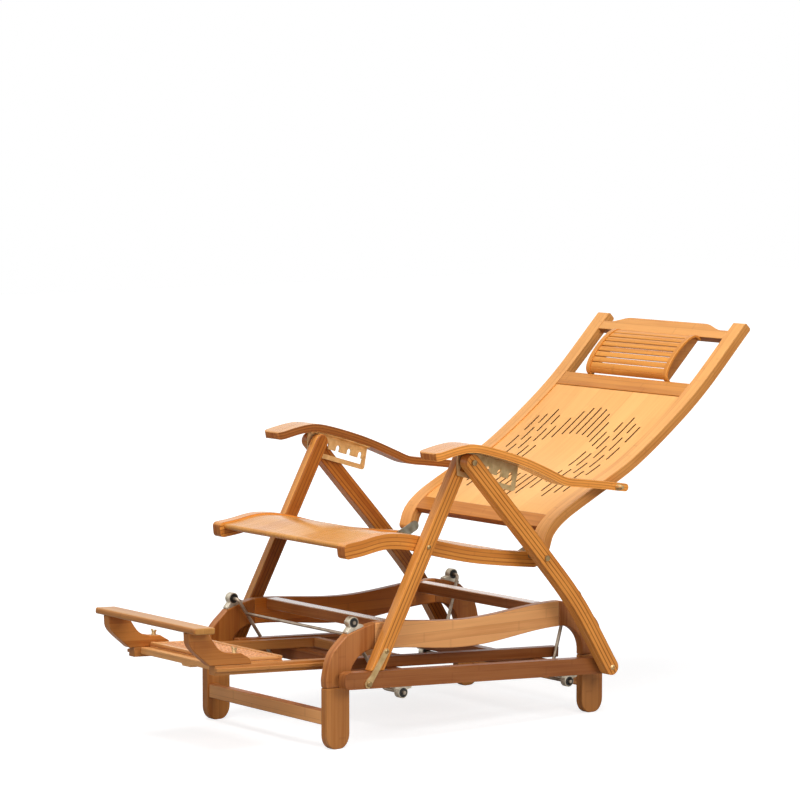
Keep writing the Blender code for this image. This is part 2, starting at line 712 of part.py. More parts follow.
for swing_name, swing in (("front", FRONT_SWING), ("rear", REAR_SWING)):
    cross = turned_mesh([(-SWING_X, SWING_ROD_RADIUS), (SWING_X, SWING_ROD_RADIUS)])
    rods = [(cross, Matrix.Translation((0, 0, -SWING_ROD_DROP)))]
    rods += [(rod_mesh(swing_arm_route(side), PIN_RADIUS), Matrix.Identity(4)) for _, side in SIDES]
    united(swing_name + "_swing_frame", rods, swing, STEEL)


# Carriage

def carriage_rail_outline():
    front = -LOWER_HALF - CARRIAGE_RAIL_FRONT
    radius = CARRIAGE_RAIL_HEIGHT / 2
    rear_end = arc(REAR_FOOT, radius, -90, 90, 8)
    nose = radius * 0.6
    front_end = [Vector((front + nose, RAIL_HIGH)), Vector((front + nose * 0.3, RAIL_HIGH - nose * 0.3)),
                 Vector((front, RAIL_HIGH - nose)), Vector((front, RAIL_LOW + nose)),
                 Vector((front + nose * 0.3, RAIL_LOW + nose * 0.3)), Vector((front + nose, RAIL_LOW))]
    return rear_end + front_end


def track_section(side):
    """Grooved runner, seen from the front."""
    middle = TRACK_LOW + TRACK_HEIGHT / 2
    low = middle - GROOVE_HEIGHT / 2
    high = middle + GROOVE_HEIGHT / 2
    floor = TRACK_IN + GROOVE_DEPTH
    section = [(TRACK_OUT, TRACK_LOW), (TRACK_OUT, TRACK_HIGH), (TRACK_IN, TRACK_HIGH), (TRACK_IN, high),
               (floor, high), (floor, low), (TRACK_IN, low), (TRACK_IN, TRACK_LOW)]
    return [Vector((side * x, z)) for x, z in section]


bolt_hole = BOLT_RADIUS + RUNNING
leg_mid = (LEG_IN + LEG_OUT) / 2
for side_name, side in SIDES:
    rail = flat_mesh(carriage_rail_outline(), CARRIAGE_RAIL)
    boss = turned_mesh([(side * leg_mid, FOOT_BOSS), (side * (REAR_LEG_IN - SEATED), FOOT_BOSS)], 20)
    bossed = [(rail, Matrix.Translation((side * leg_mid, 0, 0)) @ SIDE_VIEW),
              (boss, Matrix.Translation((0, *REAR_FOOT)))]
    united("carriage_rail_" + side_name, bossed, CARRIAGE, DARK_BAMBOO, EDGE)
    front_board("footrest_track_" + side_name, track_section(side), TRACK_FRONT, TRACK_REAR,
                CARRIAGE, DARK_BAMBOO)
across = LEG_IN - SEATED
for name, end in (("carriage_cross_front", -1), ("carriage_cross_rear", 1)):
    outline = box_outline(-across, across, RAIL_LOW, CROSS_HIGH)
    fore = end * (LOWER_HALF - CARRIAGE_CROSS_INSIDE) - CARRIAGE_CROSS / 2
    front_board(name, outline, fore, fore + CARRIAGE_CROSS, CARRIAGE, DARK_BAMBOO)

for (end_name, end), play in zip(ENDS, (RUNNING, LOOP_PLAY)):
    pivot = Vector((end * LOWER_HALF, LEVEL_Z))
    ring = bearing_outline(pivot, Vector((-1, 0)), Vector((0, -1)), CARRIAGE_DROP)
    for side_name, side in SIDES:
        span = (side * (leg_mid - BEARING_WIDTH / 2), side * (leg_mid + BEARING_WIDTH / 2))
        side_board(f"lower_bearing_{end_name}_{side_name}", ring, *span, CARRIAGE, STEEL,
                   [bored(pivot, PIN_RADIUS + play)], 0)


# Leg frame

def front_leg_outline():
    """Straight leg, cut level at the foot and round at the top."""
    heading = (LEG_TOP - FRONT_FOOT).normalized()
    level_half = FRONT_LEG_WIDTH / 2 / heading.y
    turn = math.degrees(math.atan2(heading.y, heading.x))
    top = arc(LEG_TOP, FRONT_LEG_WIDTH / 2, turn - 90, turn + 90, 8)
    return [FRONT_FOOT - Vector((level_half, 0)), FRONT_FOOT + Vector((level_half, 0)), *top]


rear_bend = SEAT_BOLT.lerp(REAR_FOOT, 0.5) + Vector((0, REAR_LEG_BOW))
REAR_LEG_PATH = Path([LEG_TOP, LEG_TOP.lerp(SEAT_BOLT, 0.5), SEAT_BOLT, rear_bend, REAR_FOOT])
rear_leg_half = REAR_LEG_WIDTH / 2
for side_name, side in SIDES:
    side_board("front_leg_" + side_name, front_leg_outline(), side * LEG_IN, side * LEG_OUT,
               CARRIAGE, BAMBOO)
    holes = [bored(point, bolt_hole) for point in (LEG_TOP, SEAT_BOLT)]
    strip = REAR_LEG_PATH.strip(0, REAR_LEG_PATH.length, -rear_leg_half, rear_leg_half, True, True)
    side_board("rear_leg_" + side_name, strip, side * REAR_LEG_IN, side * REAR_LEG_OUT,
               CARRIAGE, BAMBOO, holes)


# Seat
seat_half = SEAT_RAIL_HEIGHT / 2
panel_high = seat_half - SEAT_PANEL_INSET
panel_low = panel_high - SEAT_PANEL
for side_name, side in SIDES:
    strip = SEAT_PATH.strip(0, SEAT_PATH.length, -seat_half, seat_half, True, True)
    side_board("seat_rail_" + side_name, strip, side * SEAT_IN, side * SEAT_OUT, CARRIAGE, BAMBOO,
               [bored(SEAT_BOLT, bolt_hole)])
seat_inside = SEAT_IN - SEATED
panel_stop = SEAT_PATH.length - (SEAT_LINE[-1][0] - SEAT_PANEL_REAR)


def seat_bar(start, stop, low, high, half):
    """Bar across the seat, square to the seat's line at its middle."""
    point, tangent, normal = SEAT_PATH.at((start + stop) / 2)
    reach = tangent * (stop - start) / 2
    outline = [point - reach + normal * low, point + reach + normal * low,
               point + reach + normal * high, point - reach + normal * high]
    return flat_mesh(outline, half * 2), SIDE_VIEW


cross_start = SEAT_CROSS_FRONT - SEAT_LINE[0][0]
seat_sheet = flat_mesh(SEAT_PATH.strip(0, panel_stop, panel_low, panel_high, True), seat_inside * 2)
seat_batten = seat_bar(cross_start, cross_start + SEAT_CROSS_WIDTH, panel_low - SEAT_CROSS_HEIGHT,
                       panel_low + SEAT_PANEL / 2, seat_inside)
seat_tail = seat_bar(panel_stop - SEAT_BACK_BAR / 4, panel_stop + SEAT_BACK_BAR * 3 / 4, -seat_half,
                     panel_high - SEATED, seat_inside - HINGE_PLATE - SEATED)
united("seat_panel", [(seat_sheet, SIDE_VIEW), seat_batten, seat_tail], CARRIAGE, PALE_BAMBOO, EDGE)


# Hinge plates, bolts and pins across the frame

def stepped(*steps):
    """Profile from (start, stop, radius) lengths along X."""
    profile = []
    for start, stop, radius in steps:
        profile += [(start, radius), (stop, radius)]
    return profile


def head(face):
    """Bolt head outside a face."""
    return (face + SEATED, face + SEATED + HEAD_HEIGHT, HEAD_RADIUS)


hinge_face = SEAT_IN - SEATED - HINGE_PLATE
hinge_mid = hinge_face + HINGE_PLATE / 2
hinge_strap = capsule(BACK_HINGE + HINGE_TAIL * HINGE_REACH, BACK_HINGE, HINGE_RADIUS)
for side_name, side in SIDES:
    strap = flat_mesh(hinge_strap, HINGE_PLATE, [bored(SEAT_BOLT, bolt_hole)])
    pin = turned_mesh([(side * hinge_mid, BOLT_RADIUS), (side * (BACK_OUT - EDGE), BOLT_RADIUS)])
    pinned = [(strap, Matrix.Translation((side * hinge_mid, 0, 0)) @ SIDE_VIEW),
              (pin, Matrix.Translation((0, *BACK_HINGE)))]
    united("hinge_plate_" + side_name, pinned, CARRIAGE, STEEL)

seat_bolt_steps = stepped((hinge_face + EDGE / 2, SEAT_OUT + SEATED, BOLT_RADIUS),
                          (SEAT_OUT + SEATED, REAR_LEG_IN - SEATED, HEAD_RADIUS),
                          (REAR_LEG_IN - SEATED, REAR_LEG_OUT + SEATED, BOLT_RADIUS), head(REAR_LEG_OUT))
leg_pin_steps = stepped((REAR_LEG_IN - SEATED, REAR_LEG_OUT + SEATED, BOLT_RADIUS), head(REAR_LEG_OUT))


def cross_bolt(name, steps, point, side, frame):
    """Bolt across the chair at a side view point."""
    mesh = turned_mesh([(side * x, radius) for x, radius in steps])
    add_object(name, mesh, frame, Matrix.Translation((0, *point)), STEEL)


for side_name, side in SIDES:
    cross_bolt("seat_bolt_" + side_name, seat_bolt_steps, SEAT_BOLT, side, CARRIAGE)
    cross_bolt("leg_pin_" + side_name, leg_pin_steps, LEG_TOP, side, CARRIAGE)


# Latch hooks
hook_face = LEG_OUT + SEATED + HOOK_PLATE


def hook_outline():
    """Strap from its screw to a lip round the pin, open to the rear along the hook's own turn."""
    reach = (HOOK_PIN - HOOK_PIVOT).length
    down = (HOOK_PIN - HOOK_PIVOT) / reach
    rear = Vector((-down.y, down.x))
    if rear.x < 0:
        rear = -rear
    half = HOOK_WIDTH / 2
    mouth = BOLT_RADIUS + RUNNING
    low = reach + mouth
    high = reach - mouth
    bow = (half + mouth) ** 2 / (2 * reach)
    strap = [(-half, 0), (-half * 0.7, half * 0.7), (0, half), (high - bow, half), (high, -mouth * 0.4),
             (high + mouth * 0.6, -mouth), (low - mouth * 0.6, -mouth), (low, -mouth * 0.4),
             (low - bow * 0.5, half * 0.7), (low + HOOK_LIP * 0.6, half), (low + HOOK_LIP, 0),
             (low + HOOK_LIP, -mouth), (low, -mouth - HOOK_LIP), (high, -mouth - HOOK_LIP),
             (high - HOOK_WIDTH, -half), (0, -half), (-half * 0.7, -half * 0.7)]
    return [HOOK_PIVOT + down * along + rear * aside for along, aside in strap]


for side_name, side in SIDES:
    side_board("latch_hook_" + side_name, hook_outline(), side * (LEG_OUT + SEATED), side * hook_face,
               HOOKS[side_name], STEEL, [bored(HOOK_PIVOT, bolt_hole)], bevel=0)


# Back
back_half = BACK_RAIL_DEPTH / 2
for side_name, side in SIDES:
    strip = BACK_PATH.strip(0, BACK_PATH.length, -back_half, back_half, True, True)
    holes = [bored(point, bolt_hole) for point in (BACK_HINGE, ARM_BOLT)]
    side_board("back_rail_" + side_name, strip, side * BACK_IN, side * BACK_OUT, BACK, BAMBOO, holes)
back_inside = BACK_IN - SEATED
top = BACK_PATH.length
mid_low = top - MID_FROM_TOP
mid_high = mid_low + MID_HEIGHT
crest_low = top - CREST_FROM_TOP
lower_high = LOWER_FROM_HINGE + LOWER_HEIGHT


def laid(origin, tangent, normal):
    """Placement with local Y along the back and local Z out of its front."""
    return Matrix(((1, 0, 0, 0), (0, tangent.x, normal.x, origin.x),
                   (0, tangent.y, normal.y, origin.y), (0, 0, 0, 1)))


def back_board(name, start, outline):
    """Board across the back: outline across X and up the back from start, front face flush."""
    high = max(point.y for point in outline)
    point, tangent, normal = BACK_PATH.at(start + high / 2)
    origin = point - tangent * high / 2 + normal * (back_half - BACK_BOARD / 2)
    add_object(name, flat_mesh(outline, BACK_BOARD), BACK, laid(origin, tangent, normal), BAMBOO, EDGE)


def crest_outline(steps=8):
    """Straight lower edge, upper edge swept up to a raised middle."""
    rise = []
    for step in range(steps + 1):
        share = step / steps
        x = CREST_FLAT + CREST_SWEEP * (1 - share)
        rise.append(Vector((x, CREST_HEIGHT + CREST_RAISE * (1 - math.cos(math.pi * share)) / 2)))
    half_edge = [Vector((back_inside, 0)), Vector((back_inside, CREST_HEIGHT)), *rise]
    return half_edge + [Vector((-point.x, point.y)) for point in reversed(half_edge)]


back_board("crest_rail", crest_low, crest_outline())
back_board("mid_rail", mid_low, box_outline(-back_inside, back_inside, 0, MID_HEIGHT))
back_board("lower_rail", LOWER_FROM_HINGE, box_outline(-back_inside, back_inside, 0, LOWER_HEIGHT))

panel_front = back_half - BACK_PANEL_INSET
panel_start = lower_high + SEATED * 2
panel_end = mid_low - SEATED * 2
panel_strip = BACK_PATH.strip(panel_start, panel_end, panel_front - BACK_PANEL, panel_front)
back_panel = side_board("back_panel", panel_strip, -back_inside, back_inside, BACK, PALE_BAMBOO, bevel=0)


def slit_places():
    """Place across, middle along the back and length of each slit: one quarter, mirrored both ways."""
    middle = (panel_start + panel_end) / 2 - SLIT_DROP
    for column, stretches in enumerate(SLIT_COLUMNS):
        for side in (1, -1) if column else (1,):
            for low, high in stretches:
                for end in (1, -1) if low > 0 else (1,):
                    yield side * column * SLIT_PITCH, middle + end * (low + high) / 2, high - low


slits = []
for x, distance, length in slit_places():
    point, tangent, normal = BACK_PATH.at(distance)
    cube = bmesh.new()
    bmesh.ops.create_cube(cube, size=1)
    mesh = bpy.data.meshes.new("slit")
    cube.to_mesh(mesh)
    cube.free()
    size = Matrix.Diagonal((SLIT_WIDTH, length, BACK_RAIL_DEPTH * 2, 1))
    slits.append((mesh, Matrix.Translation((x, 0, 0)) @ laid(point, tangent, normal) @ size))
slit_tool = bpy.data.objects.new("slits", group_mesh(slits))
CUTTERS.objects.link(slit_tool)
BACK.carry(slit_tool, Matrix.Identity(4))
cut(back_panel, slit_tool, "DIFFERENCE")

# Headrest pillow
pillow_low = mid_high + SEATED * 2
pillow_high = crest_low - SEATED * 2
pillow_point, pillow_tangent, pillow_normal = BACK_PATH.at((pillow_low + pillow_high) / 2)
pillow_half = (pillow_high - pillow_low) / 2


def pillow_place(along, out):
    return pillow_point + pillow_tangent * along + pillow_normal * out


def pillow_bulge(share):
    """Place along and height of the bulge for a share of its half turn."""
    turn = math.pi * share
    return -pillow_half * math.cos(turn), PILLOW_LIP + (PILLOW_RISE - PILLOW_LIP) * math.sin(turn) ** 0.7


pillow_steps = 14
pillow_round = Path([pillow_place(*pillow_bulge(step / pillow_steps)) for step in range(pillow_steps + 1)], 1)
end_outline = [pillow_place(-pillow_half, PILLOW_BACK), pillow_place(pillow_half, PILLOW_BACK)]
end_outline += reversed(pillow_round.points)
end_mesh = flat_mesh(end_outline, PILLOW_END)
slat_half = PILLOW_HALF - PILLOW_END / 2
pillow = [(end_mesh, Matrix.Translation((side * slat_half, 0, 0)) @ SIDE_VIEW) for _, side in SIDES]
for slat in range(SLATS):
    distance = SLAT_START + (pillow_round.length - SLAT_START * 2) * slat / (SLATS - 1)
    point, along, outward = pillow_round.at(distance)
    middle = point - outward * (SLAT_THICK / 2 + EDGE)
    side_step = along * SLAT_WIDTH / 2
    depth = outward * SLAT_THICK / 2
    outline = [middle - side_step - depth, middle + side_step - depth,
               middle + side_step + depth, middle - side_step + depth]
    pillow.append((flat_mesh(outline, slat_half * 2), SIDE_VIEW))
united("head_pillow", pillow[:1] + pillow[2:] + pillow[1:2], BACK, BAMBOO)


# Armrests
arm_half = ARM_THICK / 2
nut_radius = HEAD_RADIUS * 0.9
arm_rear_out = ARM_IN + ARM_REAR_WIDTH


def arm_plan(side):
    """Armrest seen from above: round front corners, outer edge drawn in towards the rear bolt."""
    front = ARM_PATH.points[0].x - EDGE
    rear = ARM_PATH.points[-1].x + ARM_THICK
    corner = ARM_WIDTH / 4
    waist = ARM_BOLT.x - ARM_REAR_WIDTH
    flared = ARM_IN - ARM_FLARE
    middle = (LEG_TOP.x + waist) / 2
    plan = [(flared, front + corner), (flared + corner * 0.3, front + corner * 0.3),
            (flared + corner, front), (ARM_OUT - corner, front),
            (ARM_OUT - corner * 0.3, front + corner * 0.3), (ARM_OUT, front + corner), (ARM_OUT, LEG_TOP.x),
            (ARM_OUT - (ARM_OUT - arm_rear_out) * 0.45, middle), (arm_rear_out, waist),
            (arm_rear_out, rear), (ARM_IN, rear), (ARM_IN, middle), (flared, LEG_TOP.x)]
    return [Vector((side * x, y)) for x, y in plan]


def slot_line(distance, below):
    """Point of the toothed plate, along the slots from the first and below their line."""
    along = Vector((math.cos(SLOT_SLOPE), math.sin(SLOT_SLOPE)))
    return LEG_TOP + along * distance + Vector((along.y, -along.x)) * below


def plate_window():
    """Lane that the leg pin runs in, with a slot up to the pin's rest at each stop."""
    last = (SLOTS - 1) * SLOT_PITCH
    half = SLOT_WIDTH / 2
    window = [slot_line(-half - 0.004, LANE_BOTTOM), slot_line(last + half + 0.004, LANE_BOTTOM)]
    window.append(slot_line(last + half + 0.004, LANE_TOP))
    for slot in reversed(range(SLOTS)):
        centre = slot * SLOT_PITCH
        window += [slot_line(centre + half, LANE_TOP), slot_line(centre + half, 0),
                   slot_line(centre + half * 0.6, -half * 0.8), slot_line(centre - half * 0.6, -half * 0.8),
                   slot_line(centre - half, 0), slot_line(centre - half, LANE_TOP)]
    window.append(slot_line(-half - 0.004, LANE_TOP))
    return window


def plate_places():
    """Stretch of the armrest's line above the toothed plate."""
    first = slot_line(-PLATE_FRONT, 0).x
    last = slot_line((SLOTS - 1) * SLOT_PITCH + PLATE_REAR, -LANE_TOP).x
    return ARM_PATH.reach(first), ARM_PATH.reach(last)


arm_under = -arm_half - SEATED
plate_start, plate_stop = plate_places()
under_line = [point + normal * arm_under for point, _, normal in ARM_PATH.stretch(plate_start, plate_stop)]
last_slot = (SLOTS - 1) * SLOT_PITCH
plate_outline = [slot_line(-PLATE_FRONT * 0.6, PLATE_BELOW),
                 slot_line(last_slot + PLATE_REAR, PLATE_BELOW)]
plate_outline += list(reversed(under_line))
flange_outline = ARM_PATH.strip(plate_start, plate_stop, arm_under - PLATE_THICK, arm_under)
for side_name, side in SIDES:
    arm_body = ARM_PATH.strip(0, ARM_PATH.length, -arm_half, arm_half, False, True)
    span = (side * (ARM_IN - ARM_FLARE - EDGE), side * (ARM_OUT + EDGE))
    armrest = side_board("armrest_" + side_name, arm_body, *span, ARMS[side_name], BAMBOO,
                         [bored(ARM_BOLT, bolt_hole)], bevel=0)
    plan_tool = bpy.data.objects.new("armrest_plan_" + side_name, flat_mesh(arm_plan(side), 1.0))
    CUTTERS.objects.link(plan_tool)
    ARMS[side_name].carry(plan_tool, Matrix.Translation((0, 0, LEG_TOP.y)))
    cut(armrest, plan_tool, "INTERSECT")
    ease_edges(armrest, EDGE * 1.5)
    sheet = flat_mesh(plate_outline, PLATE_THICK, [plate_window()])
    flange = flat_mesh(flange_outline, FLANGE_WIDTH)
    sheet_place = Matrix.Translation((side * (PLATE_IN + PLATE_OUT) / 2, 0, 0)) @ SIDE_VIEW
    flange_place = Matrix.Translation((side * (PLATE_OUT - FLANGE_WIDTH / 2), 0, 0)) @ SIDE_VIEW
    united("toothed_plate_" + side_name, [(sheet, sheet_place), (flange, flange_place)],
           ARMS[side_name], STEEL)

arm_bolt_profile = stepped((BACK_IN + EDGE, BACK_OUT + SEATED, BOLT_RADIUS),
                           (BACK_OUT + SEATED, ARM_IN - SEATED, HEAD_RADIUS),
                           (ARM_IN - SEATED, arm_rear_out + SEATED, BOLT_RADIUS),
                           (arm_rear_out + SEATED, arm_rear_out + EDGE, HEAD_RADIUS * 1.2),
                           (arm_rear_out + EDGE, arm_rear_out + HEAD_HEIGHT * 2.5, nut_radius),
                           (arm_rear_out + HEAD_HEIGHT * 2.5, arm_rear_out + HEAD_HEIGHT * 4, BOLT_RADIUS))
for side_name, side in SIDES:
    cross_bolt("arm_bolt_" + side_name, arm_bolt_profile, ARM_BOLT, side, BACK)


# Footrest
def foot_rail_section(side):
    """Runner with the tongue that slides in the track's groove, seen from the front."""
    middle = TRACK_LOW + TRACK_HEIGHT / 2
    low = middle - GROOVE_HEIGHT / 2 + SLIDING / 2
    high = middle + GROOVE_HEIGHT / 2 - SLIDING / 2
    tip = TRACK_IN + GROOVE_DEPTH - SLIDING
    section = [(FOOT_IN, FOOT_LOW), (FOOT_OUT, FOOT_LOW), (FOOT_OUT, low), (tip, low), (tip, high),
               (FOOT_OUT, high), (FOOT_OUT, FOOT_HIGH), (FOOT_IN, FOOT_HIGH)]
    return [Vector((side * x, z)) for x, z in section]


foot_inside = FOOT_IN - SEATED
foot_rear = FOOT_RAIL_FRONT + FOOT_RAIL_LENGTH
for side_name, side in SIDES:
    front_board("footrest_rail_" + side_name, foot_rail_section(side), FOOT_RAIL_FRONT, foot_rear,
                FOOTREST, DARK_BAMBOO, EDGE / 2)
cross_low = FOOT_HIGH - FOOT_CROSS_HEIGHT
grip = box_outline(-foot_inside, foot_inside, cross_low, FOOT_HIGH)
grip[1:1] = [Vector((GRIP_ASIDE - GRIP_HALF, cross_low)),
             Vector((GRIP_ASIDE - GRIP_HALF * 0.8, cross_low - GRIP_DROP)),
             Vector((GRIP_ASIDE + GRIP_HALF * 0.8, cross_low - GRIP_DROP)),
             Vector((GRIP_ASIDE + GRIP_HALF, cross_low))]
cross_front = FOOT_RAIL_FRONT + FOOT_CROSS_BACK
front_board("footrest_front_rail", grip, cross_front, cross_front + FOOT_CROSS, FOOTREST, DARK_BAMBOO)
rear_outline = box_outline(-foot_inside, foot_inside, FOOT_LOW, FOOT_HIGH)
front_board("footrest_rear_rail", rear_outline, foot_rear - EDGE - FOOT_CROSS, foot_rear - EDGE,
            FOOTREST, DARK_BAMBOO)

panel_top = FOOT_HIGH + PANEL_RAISE
panel_fore = cross_front + FOOT_CROSS + PANEL_SPACE
panel_aft = panel_fore + PANEL_LENGTH
panel_tray = box_outline(panel_fore, panel_aft, panel_top - PANEL_HEIGHT, panel_top - BEAD_RADIUS)
tray_pieces = [(flat_mesh(panel_tray, foot_inside * 2), SIDE_VIEW)]
for low_y, high_y in ((panel_fore, panel_fore + PANEL_RIM), (panel_aft - PANEL_RIM, panel_aft)):
    rim = box_outline(low_y, high_y, panel_top - PANEL_HEIGHT, panel_top)
    tray_pieces.append((flat_mesh(rim, foot_inside * 2), SIDE_VIEW))
bead_room = PANEL_LENGTH - 2 * PANEL_RIM
for row in range(BEAD_ROWS):
    centre = panel_fore + PANEL_RIM + bead_room * (row + 0.5) / BEAD_ROWS
    bead_end = foot_inside - PANEL_RIM
    beads = turned_mesh([(-bead_end, BEAD_RADIUS), (bead_end, BEAD_RADIUS)], 10)
    tray_pieces.append((beads, Matrix.Translation((0, centre, panel_top - BEAD_RADIUS))))
united("massage_panel", tray_pieces, FOOTREST, PALE_BAMBOO)

bar_half = BAR_WIDTH / 2
bar_low = BAR_Z - BAR_THICK / 2
bar_outline = box_outline(BAR_Y - bar_half, BAR_Y + bar_half, bar_low, bar_low + BAR_THICK)
side_board("foot_bar", bar_outline, -BAR_LENGTH / 2, BAR_LENGTH / 2, FOOTREST, BAMBOO, bevel=EDGE * 2)


def bracket_outline():
    """Ear under the foot bar: flat on the rail, hollow behind, bellied in front, land for the wing nut."""
    base = FOOT_HIGH + SEATED
    crown = bar_low - SEATED
    front_top = BAR_Y - bar_half * 0.85
    rear_top = BAR_Y + bar_half
    foot_front = FOOT_RAIL_FRONT - BRACKET_AHEAD
    foot_end = foot_front + BRACKET_FOOT
    drop = crown - base
    belly = Path([Vector((front_top, crown)), Vector((front_top + drop * 0.12, base + drop * 0.56)),
                  Vector((foot_front, base))], steps=5)
    land_front = WING_Y - WING_LAND / 2
    hollow = Path([Vector((land_front, WING_Z)), Vector((land_front - drop * 0.48, WING_Z + drop * 0.13)),
                   Vector((rear_top, crown))], steps=5)
    tail = [Vector((foot_end, base)), Vector((foot_end - drop * 0.08, base + drop * 0.17)),
            Vector((WING_Y + WING_LAND / 2, WING_Z))]
    return belly.points + tail + hollow.points


for side_name, side in SIDES:
    side_board("foot_bracket_" + side_name, bracket_outline(), side * FOOT_IN, side * FOOT_OUT,
               FOOTREST, BAMBOO)
    middle = side * (FOOT_IN + FOOT_OUT) / 2
    upright = Matrix.Translation((middle, WING_Y, WING_Z)) @ Matrix.Rotation(-math.pi / 2, 4, "Y")
    hub = turned_mesh([(SEATED, WING_HUB), (WING_HUB_HEIGHT, WING_HUB * 0.8)])
    blade = [Vector((-WING_SPAN / 2, WING_HUB_HEIGHT + WING_RISE)), Vector((-WING_HUB * 0.6, SEATED * 4)),
             Vector((WING_HUB * 0.6, SEATED * 4)), Vector((WING_SPAN / 2, WING_HUB_HEIGHT + WING_RISE)),
             Vector((WING_SPAN / 4, WING_HUB_HEIGHT + WING_RISE)), Vector((0, WING_HUB_HEIGHT * 0.9)),
             Vector((-WING_SPAN / 4, WING_HUB_HEIGHT + WING_RISE))]
    blade_place = Matrix.Translation((middle, WING_Y, WING_Z)) @ FRONT_VIEW
    united("wing_nut_" + side_name, [(hub, upright), (flat_mesh(blade, WING_THICK), blade_place)],
           WINGS[side_name], STEEL)


# The origin lies on the floor under the middle of the whole chair
bpy.context.view_layer.update()
graph = bpy.context.evaluated_depsgraph_get()
ends_y = []
for obj in PARTS.objects:
    if obj.type == "MESH":
        shape = obj.evaluated_get(graph)
        ends_y += [(shape.matrix_world @ vertex.co).y for vertex in shape.data.vertices]
ROOT.empty.matrix_basis = Matrix.Translation((0, -(min(ends_y) + max(ends_y)) / 2, 0))
bpy.context.view_layer.update()

print("joint places")
moving = [FRONT_SWING, REAR_SWING, CARRIAGE, BACK, FOOTREST, *ARMS.values(), *HOOKS.values()]
for frame in moving + list(WINGS.values()):
    where = frame.empty.matrix_world.translation
    print(frame.empty.name, [round(value, 5) for value in where])
print("rest tilt", round(math.degrees(REST_TILT), 4))
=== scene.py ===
"""Dressed bamboo glider recliner: laminated bamboo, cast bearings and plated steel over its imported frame."""
import json
import math

import bmesh
import bpy
from mathutils import Matrix, Vector


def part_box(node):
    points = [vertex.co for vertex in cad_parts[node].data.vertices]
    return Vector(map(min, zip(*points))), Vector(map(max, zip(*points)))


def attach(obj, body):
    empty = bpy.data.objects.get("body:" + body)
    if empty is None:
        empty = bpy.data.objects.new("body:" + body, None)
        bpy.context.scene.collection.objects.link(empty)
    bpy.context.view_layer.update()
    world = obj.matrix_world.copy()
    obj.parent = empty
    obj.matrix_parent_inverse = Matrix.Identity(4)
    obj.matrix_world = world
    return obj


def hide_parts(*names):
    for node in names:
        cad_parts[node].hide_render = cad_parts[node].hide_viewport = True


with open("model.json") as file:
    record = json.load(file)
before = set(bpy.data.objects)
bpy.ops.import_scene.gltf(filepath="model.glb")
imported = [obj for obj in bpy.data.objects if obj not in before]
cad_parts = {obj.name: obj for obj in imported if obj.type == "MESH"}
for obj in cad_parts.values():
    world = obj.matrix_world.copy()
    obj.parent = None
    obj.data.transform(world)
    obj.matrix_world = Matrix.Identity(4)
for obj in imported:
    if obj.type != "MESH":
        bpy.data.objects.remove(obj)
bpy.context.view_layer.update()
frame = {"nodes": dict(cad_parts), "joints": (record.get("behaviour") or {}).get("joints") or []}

# Anchors: the chair is drawn level, (along, up) from the front pivot of its carriage
JOINTS = {joint["name"]: joint for joint in frame["joints"]}
ALONG = Vector(JOINTS["footrest_slide"]["axis"])
UP = Vector(JOINTS["wing_nut_turn_left"]["axis"])
PIVOT = Vector(JOINTS["carriage_tilt"]["pos_m"])
CHAIR = Matrix(((1, 0, 0, 0), (0, ALONG.y, UP.y, PIVOT.y), (0, ALONG.z, UP.z, PIVOT.z), (0, 0, 0, 1)))
LEVEL = CHAIR.inverted()
WORLD = Matrix.Identity(4)


def level(point):
    """Place in the level drawing of a point of the frame."""
    return (LEVEL @ Vector(point)).yz


def middle(node):
    """Middle of a node's box in the frame."""
    low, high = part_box(node)
    return (low + high) / 2


def across_of(node):
    """Places across the chair between which a left-hand node lies."""
    low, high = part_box(node)
    return Vector((low.x, high.x))


BASE_LOW, BASE_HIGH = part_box("base_side_left")
BASE = Matrix.Translation((0, (BASE_LOW.y + BASE_HIGH.y) / 2, 0))
HINGE = level(JOINTS["recline"]["pos_m"])
ARM_BOLT = level(JOINTS["arm_hinge_left"]["pos_m"])
HOOK = level(JOINTS["hook_latch_left"]["pos_m"])
WING = level(JOINTS["wing_nut_turn_left"]["pos_m"])
LEG_TOP = level(middle("leg_pin_left"))
SEAT_BOLT = level(middle("seat_bolt_left"))
LOWER_SPAN = level(middle("lower_bearing_rear_left")) - level(middle("lower_bearing_front_left"))

# Sizes repeated from the part's source, in metres
GAP = 0.0003
SEAT_PIVOT = HINGE - Vector((0.345, -0.011))
FRONT_FOOT = Vector((-0.076, 0.0508))
REAR_FOOT = Vector((LOWER_SPAN.x + 0.095, 0.032))
HOOK_STUD = FRONT_FOOT + Vector((-0.023, -0.0264))
SEAT_LINE = [(-0.193, -0.006), (-0.163, -0.001), (-0.1, 0.0115), (-0.032, 0.008),
             (0.052, -0.009), (0.138, -0.024), (0.224, -0.033), (0.322, -0.04)]
BACK_LINE = [(0.0, 0.0), (0.012, 0.034), (0.052, 0.071), (0.138, 0.121), (0.2455, 0.182),
             (0.361, 0.27), (0.4605, 0.36), (0.585, 0.497)]
ARM_FRONT_LINE = [(-0.116, 0.013), (-0.056, 0.028), (-0.013, 0.0325), (0.039, 0.0245), (0.112, 0.007),
                  (0.167, -0.0095), (0.223, -0.0295)]
ARM_REAR_LINE = [(-0.154, 0.0145), (-0.104, 0.0095), (-0.045, 0.0045), (0.0, 0.0), (0.024, -0.002)]
SEAT_HALF = 0.017
PANEL_HIGH = SEAT_HALF - 0.004
PANEL_LOW = PANEL_HIGH - 0.012
PANEL_REAR = 0.278       # seat panel's rear edge behind the seat pivot
BATTEN_START = 0.043
BATTEN_STOP = 0.073
BATTEN_DEPTH = 0.018
TAIL_WIDTH = 0.027
TAIL_INSET = 0.0033      # room for the hinge plates
BACK_HALF = 0.0115
BACK_BOARD = 0.018
LOWER_START = 0.036
LOWER_HEIGHT = 0.038
MID_DROP = 0.231         # rail's start below the back's top
MID_HEIGHT = 0.042
CREST_DROP = 0.046
